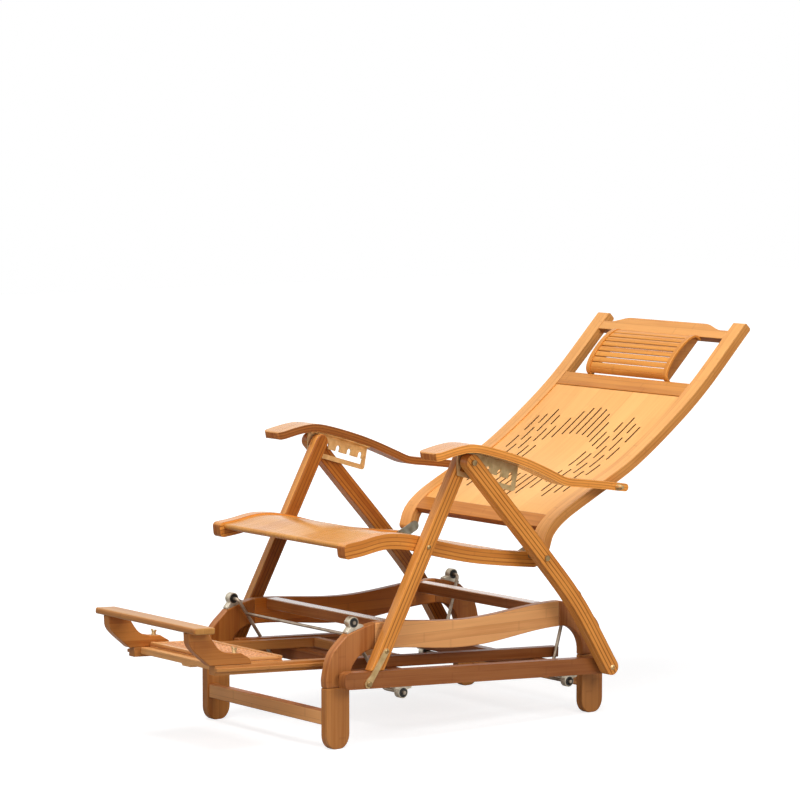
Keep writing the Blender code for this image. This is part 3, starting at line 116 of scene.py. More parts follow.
CREST_END = 0.026        # height at its ends
CREST_RISE = 0.016
CREST_FLAT = 0.131       # half of its raised middle
CREST_SWEEP = 0.067
BACK_PANEL_INSET = 0.003
BACK_PANEL_THICK = 0.009
PILLOW_HALF = 0.144
PILLOW_FOOT = 0.008
PILLOW_RISE = 0.032
PILLOW_FULLNESS = 0.7
ARM_HALF = 0.009
ARM_FLARE = 0.01
ARM_REAR_WIDTH = 0.04
ARM_CORNER = 0.015
LEG_HALF = 0.0175
REAR_LEG_HALF = 0.018
REAR_LEG_BOW = 0.017
HOOK_THICK = 0.0028      # with its gap from the leg
FOOT_FRONT = 0.056       # footrest's front ahead of the wing nuts
FOOT_DROP = 0.0245       # and its top below them
TRAY_SET_BACK = 0.04
TRAY_LENGTH = 0.153
TRAY_RISE = 0.011
TRAY_DEPTH = 0.024
BASE_TOP = 0.266
BASE_LEG = 0.062
KNEE_REACH = 0.131
KNEE_RADIUS = 0.104
CORNER_RADIUS = 0.062
SOLE_REACH = 0.025
SOLE_RISE = 0.032
RAIL_DIP = 0.016
RAIL_DEPTH = 0.062
RAIL_ARCH = 0.02
LAND_DROP = 0.0122
LAND_INSET = 0.08
LAND_SLOPE = math.radians(16)
LAND_LENGTH = 0.05
UPPER_FOOT = -0.018      # bearing feet from their pivots
LOWER_FOOT = -0.0135
PIN_RADIUS = 0.004
PIN_PROUD = 0.0015
SWING_INSET = 0.014
TIE_DROP = 0.042
TIE_RADIUS = 0.0035

# Roundings and caps of the visual pieces; a cap is a reach past the line's end and a corner radius
BOARD_EASE = 0.0035
LEG_EASE = 0.004
BASE_EASE = 0.0028
BAR_EASE = 0.002
RAIL_EASE = 0.0015
RIM_EASE = 0.0012
FINE_EASE = 0.001
END_EASE = 0.0008
SLAT_EASE = 0.0006
PLATE_CORNER = 0.008
SEAT_CAPS = ((SEAT_HALF, 0.01), (SEAT_HALF, 0.0166))
PANEL_CAPS = ((0.006, 0.0058), (0, 0))
LEG_CAPS = ((REAR_LEG_HALF, 0.0176), (REAR_LEG_HALF, 0.0176))
BACK_CAPS = ((BACK_HALF, 0.0112), (0.007, 0.005))
ARM_CAPS = ((0.0, 0.004), (ARM_HALF, 0.0088))

SIDES = (("left", 1), ("right", -1))
ENDS = (("front", -1), ("rear", 1))
SIDE_VIEW = Matrix(((0, 0, 1, 0), (1, 0, 0, 0), (0, 1, 0, 0), (0, 0, 0, 1)))
UNITS = (Vector((1, 0, 0)), Vector((0, 1, 0)), Vector((0, 0, 1)))


class Line:
    """A smooth line of the side view through a few points, measured along its length."""

    def __init__(self, points, steps=8):
        points = [Vector(point) for point in points]
        ends = [points[0] * 2 - points[1]] + points + [points[-1] * 2 - points[-2]]
        self.points = []
        for before, start, stop, after in zip(ends, ends[1:], ends[2:], ends[3:]):
            for step in range(steps):
                t = step / steps
                bend = (start * 2 + (stop - before) * t
                        + (before * 2 - start * 5 + stop * 4 - after) * t ** 2
                        + (start * 3 - before - stop * 3 + after) * t ** 3)
                self.points.append(bend / 2)
        self.points.append(points[-1])
        self.lengths = [0.0]
        for first, second in zip(self.points, self.points[1:]):
            self.lengths.append(self.lengths[-1] + (second - first).length)
        self.length = self.lengths[-1]
        ends = self.points[:1] + self.points + self.points[-1:]
        self.tangents = [(after - before).normalized() for before, after in zip(ends, ends[2:])]

    def at(self, place):
        """Point, tangent and upward normal at this distance, straight on beyond the ends."""
        index = 1
        while index < len(self.lengths) - 1 and self.lengths[index] < place:
            index += 1
        before = self.lengths[index - 1]
        share = min(max((place - before) / (self.lengths[index] - before), 0.0), 1.0)
        tangent = self.tangents[index - 1].lerp(self.tangents[index], share).normalized()
        point = self.points[index - 1].lerp(self.points[index], share)
        beyond = place - min(max(place, 0.0), self.length)
        return point + tangent * beyond, tangent, Vector((-tangent.y, tangent.x))

    def grain(self, point):
        """Reads a point's grain by the nearest place of the line; plies show on the faces to the side."""
        spot = point.yz
        best = None
        last = len(self.points) - 2
        for index, (first, second) in enumerate(zip(self.points, self.points[1:])):
            run = second - first
            share = (spot - first).dot(run) / run.length_squared
            if index > 0:
                share = max(share, 0.0)
            if index < last:
                share = min(share, 1.0)
            away = spot - first - run * share
            if best is None or away.length < best[0]:
                best = (away.length, self.lengths[index] + share * run.length, away, run)
        _, place, away, run = best
        rise = Vector((-run.y, run.x)).normalized()
        return place, point.x, away.dot(rise), UNITS[0], Vector((0, *rise))


SEAT = Line([SEAT_PIVOT + Vector(step) for step in SEAT_LINE])
BACK = Line([HINGE + Vector(step) for step in BACK_LINE])
ARM = Line([LEG_TOP + Vector(step) for step in ARM_FRONT_LINE]
           + [ARM_BOLT + Vector(step) for step in ARM_REAR_LINE])
REAR_LEG = Line([LEG_TOP, LEG_TOP.lerp(SEAT_BOLT, 0.5), SEAT_BOLT,
                 SEAT_BOLT.lerp(REAR_FOOT, 0.5) + Vector((0, REAR_LEG_BOW)), REAR_FOOT])
FRONT_LEG = Line([FRONT_FOOT, LEG_TOP])


# Materials

class Graph:
    """Shorthand for the nodes of a material or a world."""

    def __init__(self, owner, shader="Principled BSDF"):
        owner.use_nodes = True
        self.owner = owner
        self.tree = owner.node_tree
        self.shader = self.tree.nodes[shader]

    def feed(self, socket, value):
        """Links an input to an output, or sets it to a value."""
        if isinstance(value, bpy.types.NodeSocket):
            self.tree.links.new(value, socket)
        else:
            socket.default_value = value

    def node(self, kind, output, inputs=(), **settings):
        """Output of a new node with these settings, its inputs fed by place or name."""
        made = self.tree.nodes.new(kind)
        for key, value in settings.items():
            setattr(made, key, value)
        for key, value in dict(inputs).items():
            self.feed(made.inputs[key], value)
        return made.outputs[output]

    def math(self, operation, *values):
        return self.node("ShaderNodeMath", 0, enumerate(values), operation=operation)

    def times(self, a, b):
        return self.math("MULTIPLY", a, b)

    def plus(self, a, b):
        return self.math("ADD", a, b)

    def minus(self, a, b):
        return self.math("SUBTRACT", a, b)

    def vector(self, *values):
        return self.node("ShaderNodeCombineXYZ", 0, enumerate(values))

    def noise(self, vector, scale, detail):
        return self.node("ShaderNodeTexNoise", "Fac", {"Vector": vector, "Scale": scale, "Detail": detail})

    def near(self, value, width):
        """1 where a value is zero, falling smoothly to 0 at this width."""
        inputs = {"Value": value, "From Min": 0.0, "From Max": width, "To Min": 1.0, "To Max": 0.0}
        return self.node("ShaderNodeMapRange", "Result", inputs, interpolation_type="SMOOTHSTEP")

    def mix(self, factor, first, colour):
        return self.node("ShaderNodeMix", 2, {0: factor, 6: first, 7: (*colour, 1)}, data_type="RGBA")

    def ramp(self, factor, *stops):
        """Colour along a row of (place, colour) stops."""
        made = self.node("ShaderNodeValToRGB", "Color", {"Fac": factor})
        band = made.node.color_ramp
        while len(band.elements) < len(stops):
            band.elements.new(0.5)
        for element, (place, colour) in zip(band.elements, stops):
            element.position = place
            element.color = (*colour, 1)
        return made

    def set(self, **values):
        """Inputs of the shader, by their names with underscores."""
        for key, value in values.items():
            self.feed(self.shader.inputs[key.replace("_", " ")], value)

    def bump(self, height, strength, distance):
        relief = {"Height": height, "Strength": strength, "Distance": distance}
        self.set(Normal=self.node("ShaderNodeBump", "Normal", relief))


# Bamboo's figure: waves per metre along and across the fibres, and how the tones mix
BOARD_SHIFT = 2.0        # grain from one piece to the next
FIBRE = (9.0, 520.0)
STREAK = (4.0, 130.0)
CLOUD = (7.0, 26.0)
WEAR = (14.0, 9.0)
TONE_SHARE = 0.26
STREAK_SHARE = 0.36
CLOUD_SHARE = 0.34
FIBRE_SHARE = 0.26
RAMP_PLACES = (0.36, 0.6, 0.84)
DEEPER = (1.3, 2.0, 2.7)
FAIRER = (0.7, 1.1, 1.6)
BURN = (0.34, 0.2, 0.12)
KNUCKLE_PITCH = 0.27
KNUCKLE_WIDTH = 0.016    # share of the pitch
KNUCKLE_SPREAD = 9.7
SEAM_WEAR = 0.45
SEAM_LEAST = 0.5
SEAM_RANGE = 0.7


def bamboo(name, colour, strip, seam, figure=0.16, rough=0.36, coat=0.12, line=0.0009, knots=0.14):
    """Laminated bamboo: strips along the grain with glue lines, fibres and the knuckles of the cane."""
    graph = Graph(bpy.data.materials.new(name))
    where = graph.node("ShaderNodeUVMap", "UV", uv_map="grain")
    u = graph.node("ShaderNodeSeparateXYZ", "X", {0: where})
    v = graph.node("ShaderNodeSeparateXYZ", "Y", {0: where})

    def veins(waves, seed, detail=2.0):
        spot = graph.vector(graph.times(u, waves[0]), graph.times(v, waves[1]), seed)
        return graph.noise(spot, 1.0, detail)

    board = graph.math("FLOOR", graph.math("DIVIDE", u, BOARD_SHIFT))
    row = graph.math("DIVIDE", v, strip)
    index = graph.math("FLOOR", row)
    inside = graph.math("FRACT", row)
    edge = graph.times(graph.math("MINIMUM", inside, graph.minus(1.0, inside)), strip)
    tone = graph.node("ShaderNodeTexWhiteNoise", "Value", {"Vector": graph.vector(index, board, 0.5)})
    fibre = veins(FIBRE, index, 3.0)
    streak = veins(STREAK, board)
    cloud = veins(CLOUD, board)
    worn = veins(WEAR, board)
    glue = graph.times(graph.near(edge, line), graph.plus(SEAM_WEAR, worn))
    glue = graph.times(glue, graph.plus(SEAM_LEAST, graph.times(tone, SEAM_RANGE)))
    seams = graph.times(glue, seam)
    ring = graph.math("FRACT", graph.plus(graph.math("DIVIDE", u, KNUCKLE_PITCH),
                                          graph.times(tone, KNUCKLE_SPREAD)))
    knuckle = graph.near(graph.math("ABSOLUTE", graph.minus(ring, 0.5)), KNUCKLE_WIDTH)
    strips = graph.plus(graph.times(tone, TONE_SHARE), graph.times(streak, STREAK_SHARE))
    haze = graph.plus(graph.times(cloud, CLOUD_SHARE), graph.times(fibre, FIBRE_SHARE))
    deep = [c * (1 - figure * weight) for c, weight in zip(colour, DEEPER)]
    fair = [c * (1 + figure * weight) for c, weight in zip(colour, FAIRER)]
    burnt = [c * factor for c, factor in zip(colour, BURN)]
    plain = graph.ramp(graph.plus(strips, haze), *zip(RAMP_PLACES, (deep, colour, fair)))
    lined = graph.mix(seams, plain, burnt)
    relief = graph.minus(graph.times(fibre, 0.35), graph.minus(seams, graph.times(knuckle, 0.25)))
    graph.set(Base_Color=graph.mix(graph.times(knuckle, knots), lined, burnt),
              Roughness=graph.plus(rough - 0.06, graph.times(fibre, 0.14)),
              Coat_Weight=coat, Coat_Roughness=0.16, Specular_IOR_Level=0.2)
    graph.bump(relief, 0.28, 0.0006)
    return graph.owner


def plated(name, colour, stain, rough=0.34, metallic=0.9):
    """Plated steel or cast zinc: clouded colour, fine pitting and handling marks."""
    graph = Graph(bpy.data.materials.new(name))
    where = graph.node("ShaderNodeTexCoord", "Object")
    cloud = graph.noise(where, 55.0, 4.0)
    grit = graph.noise(where, 900.0, 2.0)
    wear = graph.noise(where, 160.0, 3.0)
    dull = [c * 0.55 for c in stain]
    bright = [min(c * 1.15, 1) for c in colour]
    tint = graph.ramp(cloud, (0.32, stain), (0.6, colour), (0.8, bright))
    graph.set(Base_Color=graph.mix(graph.near(wear, 0.42), tint, dull), Metallic=metallic,
              Roughness=graph.plus(rough - 0.08, graph.times(wear, 0.22)))
    graph.bump(graph.plus(grit, graph.times(cloud, 0.6)), 0.22, 0.0003)
    return graph.owner


# Colour, strip width, strength of the seams, then figure, roughness and coat where they differ
AMBER = bamboo("amber_face", (0.63, 0.275, 0.057), 0.06, 0.34, 0.11, 0.26, 0.2, knots=0.05)
AMBER_EDGE = bamboo("amber_edge", (0.58, 0.24, 0.06), 0.006, 0.4, 0.12)
CREST = bamboo("crest_face", (0.73, 0.335, 0.092), 0.021, 0.22, 0.12, 0.3, 0.12)
PALE = bamboo("pale_face", (0.86, 0.43, 0.13), 0.058, 0.3, 0.1, 0.36, 0.1, knots=0.04)
# painted shade: near-black walls inside the back panel's slits
SLIT_SHADE = bamboo("slit_wall", (0.16, 0.055, 0.016), 0.006, 0.4, 0.12)
HONEY = bamboo("honey_face", (0.66, 0.27, 0.06), 0.02, 0.28, 0.16, 0.26, 0.22)
HONEY_EDGE = bamboo("honey_edge", (0.74, 0.276, 0.046), 0.0088, 0.95, 0.2, line=0.002)
# painted shade: darker copy of the leg wood for the faces towards the chair's middle
HONEY_INNER_SHADE = bamboo("honey_inner_shade", (0.39, 0.126, 0.017), 0.0088, 0.85, 0.24, line=0.0018)
# painted shade: dark copy of the arm wood for the armrests' inner faces
ARM_INNER_SHADE = bamboo("arm_inner_shade", (0.31, 0.106, 0.022), 0.006, 0.8, 0.24, line=0.0014)
# arm top: wood tone partly shifted bluer as a painted highlight
ARM_TOP = bamboo("arm_top", (0.63, 0.288, 0.084), 0.02, 0.28, 0.16, 0.26, 0.22)
CUT_END = bamboo("cut_end", (0.47, 0.158, 0.033), 0.006, 0.55, 0.26, 0.42, 0.05, line=0.0012)
ARM_EDGE = bamboo("arm_edge", (0.92, 0.362, 0.068), 0.006, 0.8, 0.2, line=0.0014)
# painted shade: darker wood for the pillow's recessed end boards under the rims
END_BOARD_SHADE = bamboo("end_board", (0.46, 0.17, 0.04), 0.02, 0.3, 0.2)
BACK_EDGE = bamboo("back_edge", (0.74, 0.325, 0.084), 0.0077, 0.5, 0.2, line=0.0014)
ORANGE = bamboo("orange_face", (0.68, 0.27, 0.045), 0.014, 0.32, 0.18, 0.3, 0.12)
RAIL_FRONT = bamboo("back_rail_front", (0.76, 0.35, 0.1), 0.013, 0.34, 0.18, 0.32, 0.1)
BAR = bamboo("bar_face", (0.56, 0.214, 0.037), 0.014, 0.32, 0.2, 0.3, 0.12)
# painted shade: darker wood for the upper and lower edge faces of the back's bars
BAR_EDGE_SHADE = bamboo("bar_edge_shade", (0.4, 0.145, 0.032), 0.009, 0.4, 0.18)
RAIL = bamboo("rail_face", (0.78, 0.36, 0.125), 0.021, 0.34, 0.15)
RAIL_TOP = bamboo("rail_top", (0.54, 0.22, 0.068), 0.0105, 0.6, 0.16)
# painted shade: darker copy of the rail wood for the base rails' inner faces
RAIL_INNER_SHADE = bamboo("rail_inner_shade", (0.57, 0.172, 0.021), 0.021, 0.34, 0.22)
# painted shade on the knee pieces' inner faces, painted light on the shins' inner faces
KNEE_INNER_SHADE = bamboo("knee_inner_shade", (0.38, 0.12, 0.021), 0.019, 0.36, 0.26)
SHIN_INNER_LIT = bamboo("shin_inner_lit", (0.6, 0.235, 0.054), 0.019, 0.38, 0.22)
KNEE = bamboo("knee_face", (0.43, 0.152, 0.04), 0.019, 0.36, 0.28)
SHIN = bamboo("shin_face", (0.46, 0.172, 0.041), 0.019, 0.38, 0.22)
# glossy coat, with a painted highlight: a pale colour on the cross rails' top faces
GLOSS_HIGHLIGHT = bamboo("gloss_highlight_top", (0.72, 0.38, 0.18), 0.019, 0.36, 0.2, 0.18, 0.9)
BROWN = bamboo("brown_face", (0.33, 0.11, 0.028), 0.0185, 0.36, 0.24)
FOOT = bamboo("foot_face", (0.47, 0.185, 0.046), 0.02, 0.32, 0.18)
BRACKET = bamboo("bracket_face", (0.48, 0.17, 0.034), 0.02, 0.32, 0.2)
TRAY = bamboo("tray_face", (0.7, 0.335, 0.112), 0.02, 0.32, 0.18)
FOOT_BAR = bamboo("foot_bar_face", (0.5, 0.225, 0.054), 0.02, 0.32, 0.18)
BEADS = bamboo("bead_face", (0.68, 0.325, 0.145), 0.0155, 0.2, 0.18, 0.42, 0.06)
ZINC = plated("zinc_plate", (0.66, 0.6, 0.49), (0.46, 0.37, 0.25))
ROD = plated("rod_steel", (0.52, 0.43, 0.33), (0.36, 0.28, 0.2))
STEEL = plated("hinge_steel", (0.4, 0.36, 0.27), (0.26, 0.21, 0.14), 0.38, 0.85)
OLIVE = plated("olive_plate", (0.73, 0.52, 0.25), (0.56, 0.36, 0.15), 0.36, 0.8)
CAST = plated("cast_zinc", (0.78, 0.7, 0.56), (0.46, 0.38, 0.26), 0.36, 0.75)
BRASS = plated("aged_brass", (0.42, 0.29, 0.13), (0.26, 0.16, 0.07), 0.4, 0.8)
BUSH = plated("bush_dark", (0.022, 0.02, 0.017), (0.012, 0.011, 0.01), 0.42, 0.2)


# Grain: a reading gives a point's place along the fibres, two across them, and where ply and face look

def with_axis(axis, matrix=WORLD):
    """Grain along X, Y or Z of a board put in place by a matrix; plies look along the next axis."""
    ply, face = [index for index in (0, 1, 2) if index != axis]
    away = matrix.inverted()
    turn = matrix.to_3x3()

    def read(point):
        spot = away @ point
        return spot[axis], spot[ply], spot[face], turn @ UNITS[ply], turn @ UNITS[face]
    return read


FACING = 0.5             # least cosine of a face that looks this way
END_DEPTH = 0.01         # where the grain starts
END_STRETCH = 0.1        # end grain shows little of the length
made_count = 0


def paint(mesh, read):
    """Lays the grain on a mesh: metres along the fibres and across them, plies on the second slot.
    Gives the faces of the cut end where the grain starts."""
    global made_count
    made_count += 1
    layer = mesh.uv_layers.new(name="grain")
    readings = [read(vertex.co) for vertex in mesh.vertices]
    shift = BOARD_SHIFT * (made_count + 0.25)
    ends = []
    for polygon in mesh.polygons:
        place, _, _, ply, face = read(polygon.center)
        on_ply = abs(polygon.normal.dot(ply))
        on_face = abs(polygon.normal.dot(face))
        polygon.material_index = 1 if on_ply > on_face and on_ply > FACING else 0
        across = max(on_ply, on_face) < FACING
        if across and place < END_DEPTH:
            ends.append(polygon)
        for loop in polygon.loop_indices:
            u, p, q, _, _ = readings[mesh.loops[loop].vertex_index]
            if across:
                u = u * END_STRETCH
            layer.data[loop].uv = (u + shift, q if on_ply > on_face else p)
    return ends


# Shapes

def skin(rows):
    """Closed solid through rows of corners."""
    solid = bmesh.new()
    rings = [[solid.verts.new(corner) for corner in row] for row in rows]
    count = len(rings[0])
    for before, after in zip(rings, rings[1:]):
        for corner in range(count):
            follow = (corner + 1) % count
            solid.faces.new((before[corner], before[follow], after[follow], after[corner]))
    solid.faces.new(rings[0])
    solid.faces.new(rings[-1])
    return solid


def section(x_in, x_out, under, over):
    """Corners of a board's cut between its lower and its upper edge in the side view."""
    return [(x_in, *under), (x_out, *under), (x_out, *over), (x_in, *over)]


def quarter(steps):
    """Cosine and sine in even steps of a quarter turn."""
    turns = [math.pi / 2 * step / steps for step in range(steps + 1)]
    return [(math.cos(turn), math.sin(turn)) for turn in turns]


def swell(share):
    """Soft rise from 0 to 1."""
    return (1 - math.cos(math.pi * share)) / 2


def stations(stop, caps, step):
    """Distances along a board and how far its faces draw in there."""
    (reach_a, round_a), (reach_b, round_b) = caps
    first = round_a - reach_a
    last = stop + reach_b - round_b
    count = max(2, math.ceil((last - first) / step))
    bends = quarter(6)[:-1]
    places = [(first - round_a * c, round_a * (1 - s)) for c, s in bends if round_a]
    places += [(first + (last - first) * index / count, 0.0) for index in range(count + 1)]
    return places + [(last + round_b * c, round_b * (1 - s)) for c, s in reversed(bends) if round_b]


def swept(line, low, high, across, caps=((0, 0), (0, 0)), stop=None, step=0.012):
    """Bent board along a line from its start, to its end unless a stop is given."""
    rows = []
    for place, inset in stations(line.length if stop is None else stop, caps, step):
        point, _, normal = line.at(place)
        rows.append(section(*across(place), point + normal * (low + inset), point + normal * (high - inset)))
    return skin(rows)


def slab(outline, low, high, matrix=SIDE_VIEW):
    """Flat board of an outline, from low to high out of its plane, put in place by a matrix."""
    return skin([[matrix @ Vector((*point, out)) for point in outline] for out in (low, high)])


def turned(profile, matrix, sides=24, ring=False):
    """Piece turned about X from (place, radius) pairs, solid or as a ring."""
    solid = bmesh.new()
    if not ring:
        profile = [(profile[0][0], 0.0), *profile, (profile[-1][0], 0.0)]
    corners = [solid.verts.new((x, radius, 0)) for x, radius in profile]
    follow = corners[1:] + (corners[:1] if ring else [])
    edges = [solid.edges.new(pair) for pair in zip(corners, follow)]
    bmesh.ops.spin(solid, geom=corners + edges, cent=(0, 0, 0), axis=(1, 0, 0), angle=math.tau,
                   steps=sides, use_merge=True)
    bmesh.ops.remove_doubles(solid, verts=solid.verts, dist=1e-6)
    bmesh.ops.transform(solid, matrix=matrix, verts=solid.verts)
    return solid


def tube(route, radius, sides=16):
    """Round rod through points in space."""
    turns = [math.tau * corner / sides for corner in range(sides)]
    rows = []
    side = None
    for index, point in enumerate(route):
        ahead = (route[min(index + 1, len(route) - 1)] - route[max(index - 1, 0)]).normalized()
        if side is None:
            side = ahead.orthogonal()
        side = (side - ahead * side.dot(ahead)).normalized()
        other = ahead.cross(side)
        rows.append([point + (side * math.cos(turn) + other * math.sin(turn)) * radius for turn in turns])
    return skin(rows)


def bevelled(solid, edges, width, segments):
    """Rounds these edges of a solid."""
    bmesh.ops.bevel(solid, geom=edges, offset=width, offset_type="OFFSET", segments=segments, profile=0.5,
                    affect="EDGES", clamp_overlap=True)
    return solid


def eased(solid, width, segments=2, limit=38):
    """Rounds the edges of a solid that turn by more than a limit in degrees."""
    bmesh.ops.recalc_face_normals(solid, faces=solid.faces)
    sharp = [edge for edge in solid.edges
             if len(edge.link_faces) == 2 and edge.calc_face_angle() > math.radians(limit)]
    return bevelled(solid, sharp, width, segments)


def mesh_of(name, solid):
    """Mesh of a solid, which is used up."""
    mesh = bpy.data.meshes.new(name)
    solid.to_mesh(mesh)
    solid.free()
    return mesh


def joined(solids):
    """One solid of several."""
    whole = bmesh.new()
    for solid in solids:
        part = mesh_of("part", solid)
        whole.from_mesh(part)
        bpy.data.meshes.remove(part)
    return whole


def linked(name, data):
    """New object of the scene."""
    obj = bpy.data.objects.new(name, data)
    bpy.context.scene.collection.objects.link(obj)
    return obj


def arc(centre, radius, start, stop, steps):
    """Points along an arc, angles in degrees from the first axis towards the second."""
    turns = [math.radians(start + (stop - start) * step / steps) for step in range(steps + 1)]
    return [Vector(centre) + Vector((math.cos(turn), math.sin(turn))) * radius for turn in turns]


def piece(name, solid, body, materials, nodes=(), read=None, place=CHAIR, end=None):
    """Finished piece: shape, grain, body that it rides on, nodes it stands for. A second material is for
    the faces with plies, a third, a copy with painted shade (on the shins painted light), for the face
    towards the chair's middle, and end for the cut end."""
    bmesh.ops.recalc_face_normals(solid, faces=solid.faces)
    mesh = mesh_of(name, solid)
    if read and len(materials) == 1:
        materials = materials * 2
    for material in materials:
        mesh.materials.append(material)
    cut = paint(mesh, read) if read else []
    # painted shade: faces towards the chair's middle take the third, shaded copy of the wood (a lighter,
    # painted-light copy on the shins)
    if len(materials) == 3:
        for polygon in mesh.polygons:
            if polygon.normal.x * math.copysign(1, polygon.center.x) < -FACING:
                polygon.material_index = 2
    if end:
        mesh.materials.append(end)
        for polygon in cut:
            polygon.material_index = len(materials)
    mesh.transform(place)
    mesh.shade_smooth()
    mesh.set_sharp_from_angle(angle=math.radians(40))
    obj = linked(name, mesh)
    normals = obj.modifiers.new("even_normals", "WEIGHTED_NORMAL")
    normals.keep_sharp = True
    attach(obj, body)
    if nodes:
        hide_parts(*nodes)


def dressed(node, body, materials, read=None, ease=0.0, place=CHAIR, corner=0.0):
    """A node's own shape as a finished piece, its edges rounded a little more, or its lowest corner."""
    solid = bmesh.new()
    solid.from_mesh(frame["nodes"][node].data)
    bmesh.ops.transform(solid, matrix=place.inverted(), verts=solid.verts)
    bmesh.ops.remove_doubles(solid, verts=solid.verts, dist=1e-6)
    bmesh.ops.dissolve_limit(solid, angle_limit=math.radians(1), verts=solid.verts, edges=solid.edges)
    if ease:
        eased(solid, ease, 2, 30)
    if corner:
        lowest = min(solid.edges, key=lambda edge: edge.verts[0].co.z + edge.verts[1].co.z)
        bevelled(solid, [lowest], corner, 5)
    piece("fine_" + node, solid, body, materials, [node], read, place)


def flat(span):
    """The same places across all along a board."""
    return lambda place: span


def bent_board(kind, name, body, line, half, across, caps, materials, ease=BOARD_EASE, end=CUT_END,
               step=0.012):
    """Bent board in place of a left or right node, equally thick all along its line."""
    board = eased(swept(line, -half, half, across, caps, step=step), ease, 3)
    piece(kind + "bent_" + name, board, body, materials, [kind + name], line.grain, end=end)


def stud(name, profile, spot, face, side, body, material):
    """Turned piece that stands out of a face to the side."""
    matrix = Matrix.Translation((side * face, *spot)) @ Matrix.Diagonal((side, 1, 1, 1))
    piece(name, turned(profile, matrix), body, (material,))


# Screw heads as shares of height and radius, up the dome and down into the socket
DOME = ((0.0, 1.0), (0.35, 1.0), (0.7, 0.86), (0.95, 0.58), (1.0, 0.48), (0.35, 0.42))


def screw(name, spot, face, side, body, material, radius=0.0062, height=0.0035):
    """Domed head with a socket."""
    stud(name, [(height * rise, radius * wide) for rise, wide in DOME], spot, face, side, body, material)


# Seat
SEAT_SPAN = across_of("seat_rail_left")
seat_inside = SEAT_SPAN[0] - GAP
for name, side in SIDES:
    bent_board("seat_rail_", name, "carriage", SEAT, SEAT_HALF, flat(SEAT_SPAN * side), SEAT_CAPS,
               (HONEY, HONEY_EDGE))
panel_stop = SEAT.length - (SEAT_LINE[-1][0] - PANEL_REAR)
sheet = swept(SEAT, PANEL_LOW, PANEL_HIGH, flat((-seat_inside, seat_inside)), PANEL_CAPS, panel_stop, 0.01)
piece("seat_board", eased(sheet, FINE_EASE), "carriage", (AMBER, AMBER_EDGE), ["seat_panel"],
      SEAT.grain)


def seat_bar(name, start, stop, low, high, half):
    """Bar across the seat, square to the seat's line at its middle."""
    point, tangent, normal = SEAT.at((start + stop) / 2)
    reach = tangent * (stop - start) / 2
    outline = [point - reach + normal * low, point + reach + normal * low,
               point + reach + normal * high, point - reach + normal * high]
    piece(name, eased(slab(outline, -half, half), BAR_EASE), "carriage", (HONEY,), (),
          with_axis(0))


seat_bar("seat_batten", BATTEN_START, BATTEN_STOP, PANEL_LOW - BATTEN_DEPTH, PANEL_LOW - GAP, seat_inside)
seat_bar("seat_tail", panel_stop + GAP, panel_stop + TAIL_WIDTH, -SEAT_HALF, PANEL_HIGH - GAP,
         seat_inside - TAIL_INSET)

# Legs
FRONT_LEG_SPAN = across_of("front_leg_left")
REAR_LEG_SPAN = across_of("rear_leg_left")
# the third is the leg wood with painted shade, for the inner faces
LEG_WOODS = (HONEY, HONEY_EDGE, HONEY_INNER_SHADE)
heading = (LEG_TOP - FRONT_FOOT).normalized()
foot_half = Vector((LEG_HALF / heading.y, 0))
turn_up = math.degrees(math.atan2(heading.y, heading.x))
front_leg = [FRONT_FOOT - foot_half, FRONT_FOOT + foot_half]
front_leg += arc(LEG_TOP, LEG_HALF, turn_up - 90, turn_up + 90, 18)
for name, side in SIDES:
    board = eased(slab(front_leg, *(FRONT_LEG_SPAN * side)), LEG_EASE, 3)
    piece("front_leg_board_" + name, board, "carriage", LEG_WOODS, ["front_leg_" + name],
          FRONT_LEG.grain)
    bent_board("rear_leg_", name, "carriage", REAR_LEG, REAR_LEG_HALF, flat(REAR_LEG_SPAN * side), LEG_CAPS,
               LEG_WOODS, LEG_EASE, None)
    screw("seat_pivot_head_" + name, SEAT_PIVOT, FRONT_LEG_SPAN[1], side, "carriage", BRASS, 0.005)
    screw("rear_foot_head_" + name, REAR_FOOT, REAR_LEG_SPAN[1], side, "carriage", OLIVE)
    for node, material in (("seat_bolt_", BRASS), ("leg_pin_", BRASS), ("hinge_plate_", STEEL)):
        dressed(node + name, "carriage", (material,))

# Back
BACK_SPAN = across_of("back_rail_left")
CREST_STEPS = 24
back_inside = BACK_SPAN[0] - GAP
mid_low = BACK.length - MID_DROP
mid_high = mid_low + MID_HEIGHT
crest_low = BACK.length - CREST_DROP
lower_high = LOWER_START + LOWER_HEIGHT
for name, side in SIDES:
    bent_board("back_rail_", name, "back", BACK, BACK_HALF, flat(BACK_SPAN * side), BACK_CAPS,
               (RAIL_FRONT, BACK_EDGE))


def laid(start, high):
    """Placement of a flat board on the back: X across, Y up the back, Z out of its front."""
    point, tangent, normal = BACK.at(start + high / 2)
    origin = point - tangent * high / 2 + normal * (BACK_HALF - BACK_BOARD)
    return Matrix(((1, 0, 0, 0), (0, tangent.x, normal.x, origin.x),
                   (0, tangent.y, normal.y, origin.y), (0, 0, 0, 1)))


def back_bar(name, start, half_outline, material):
    """Bar across the back from the left half of its outline."""
    outline = half_outline + [(-x, z) for x, z in reversed(half_outline)]
    matrix = laid(start, max(z for _, z in outline))
    board = slab(outline, 0, BACK_BOARD, matrix)
    # edge faces of the bar take the wood with painted shade
    piece(name + "_board", eased(board, BAR_EASE, 3), "back", (material, BAR_EDGE_SHADE), [name],
          with_axis(0, matrix))


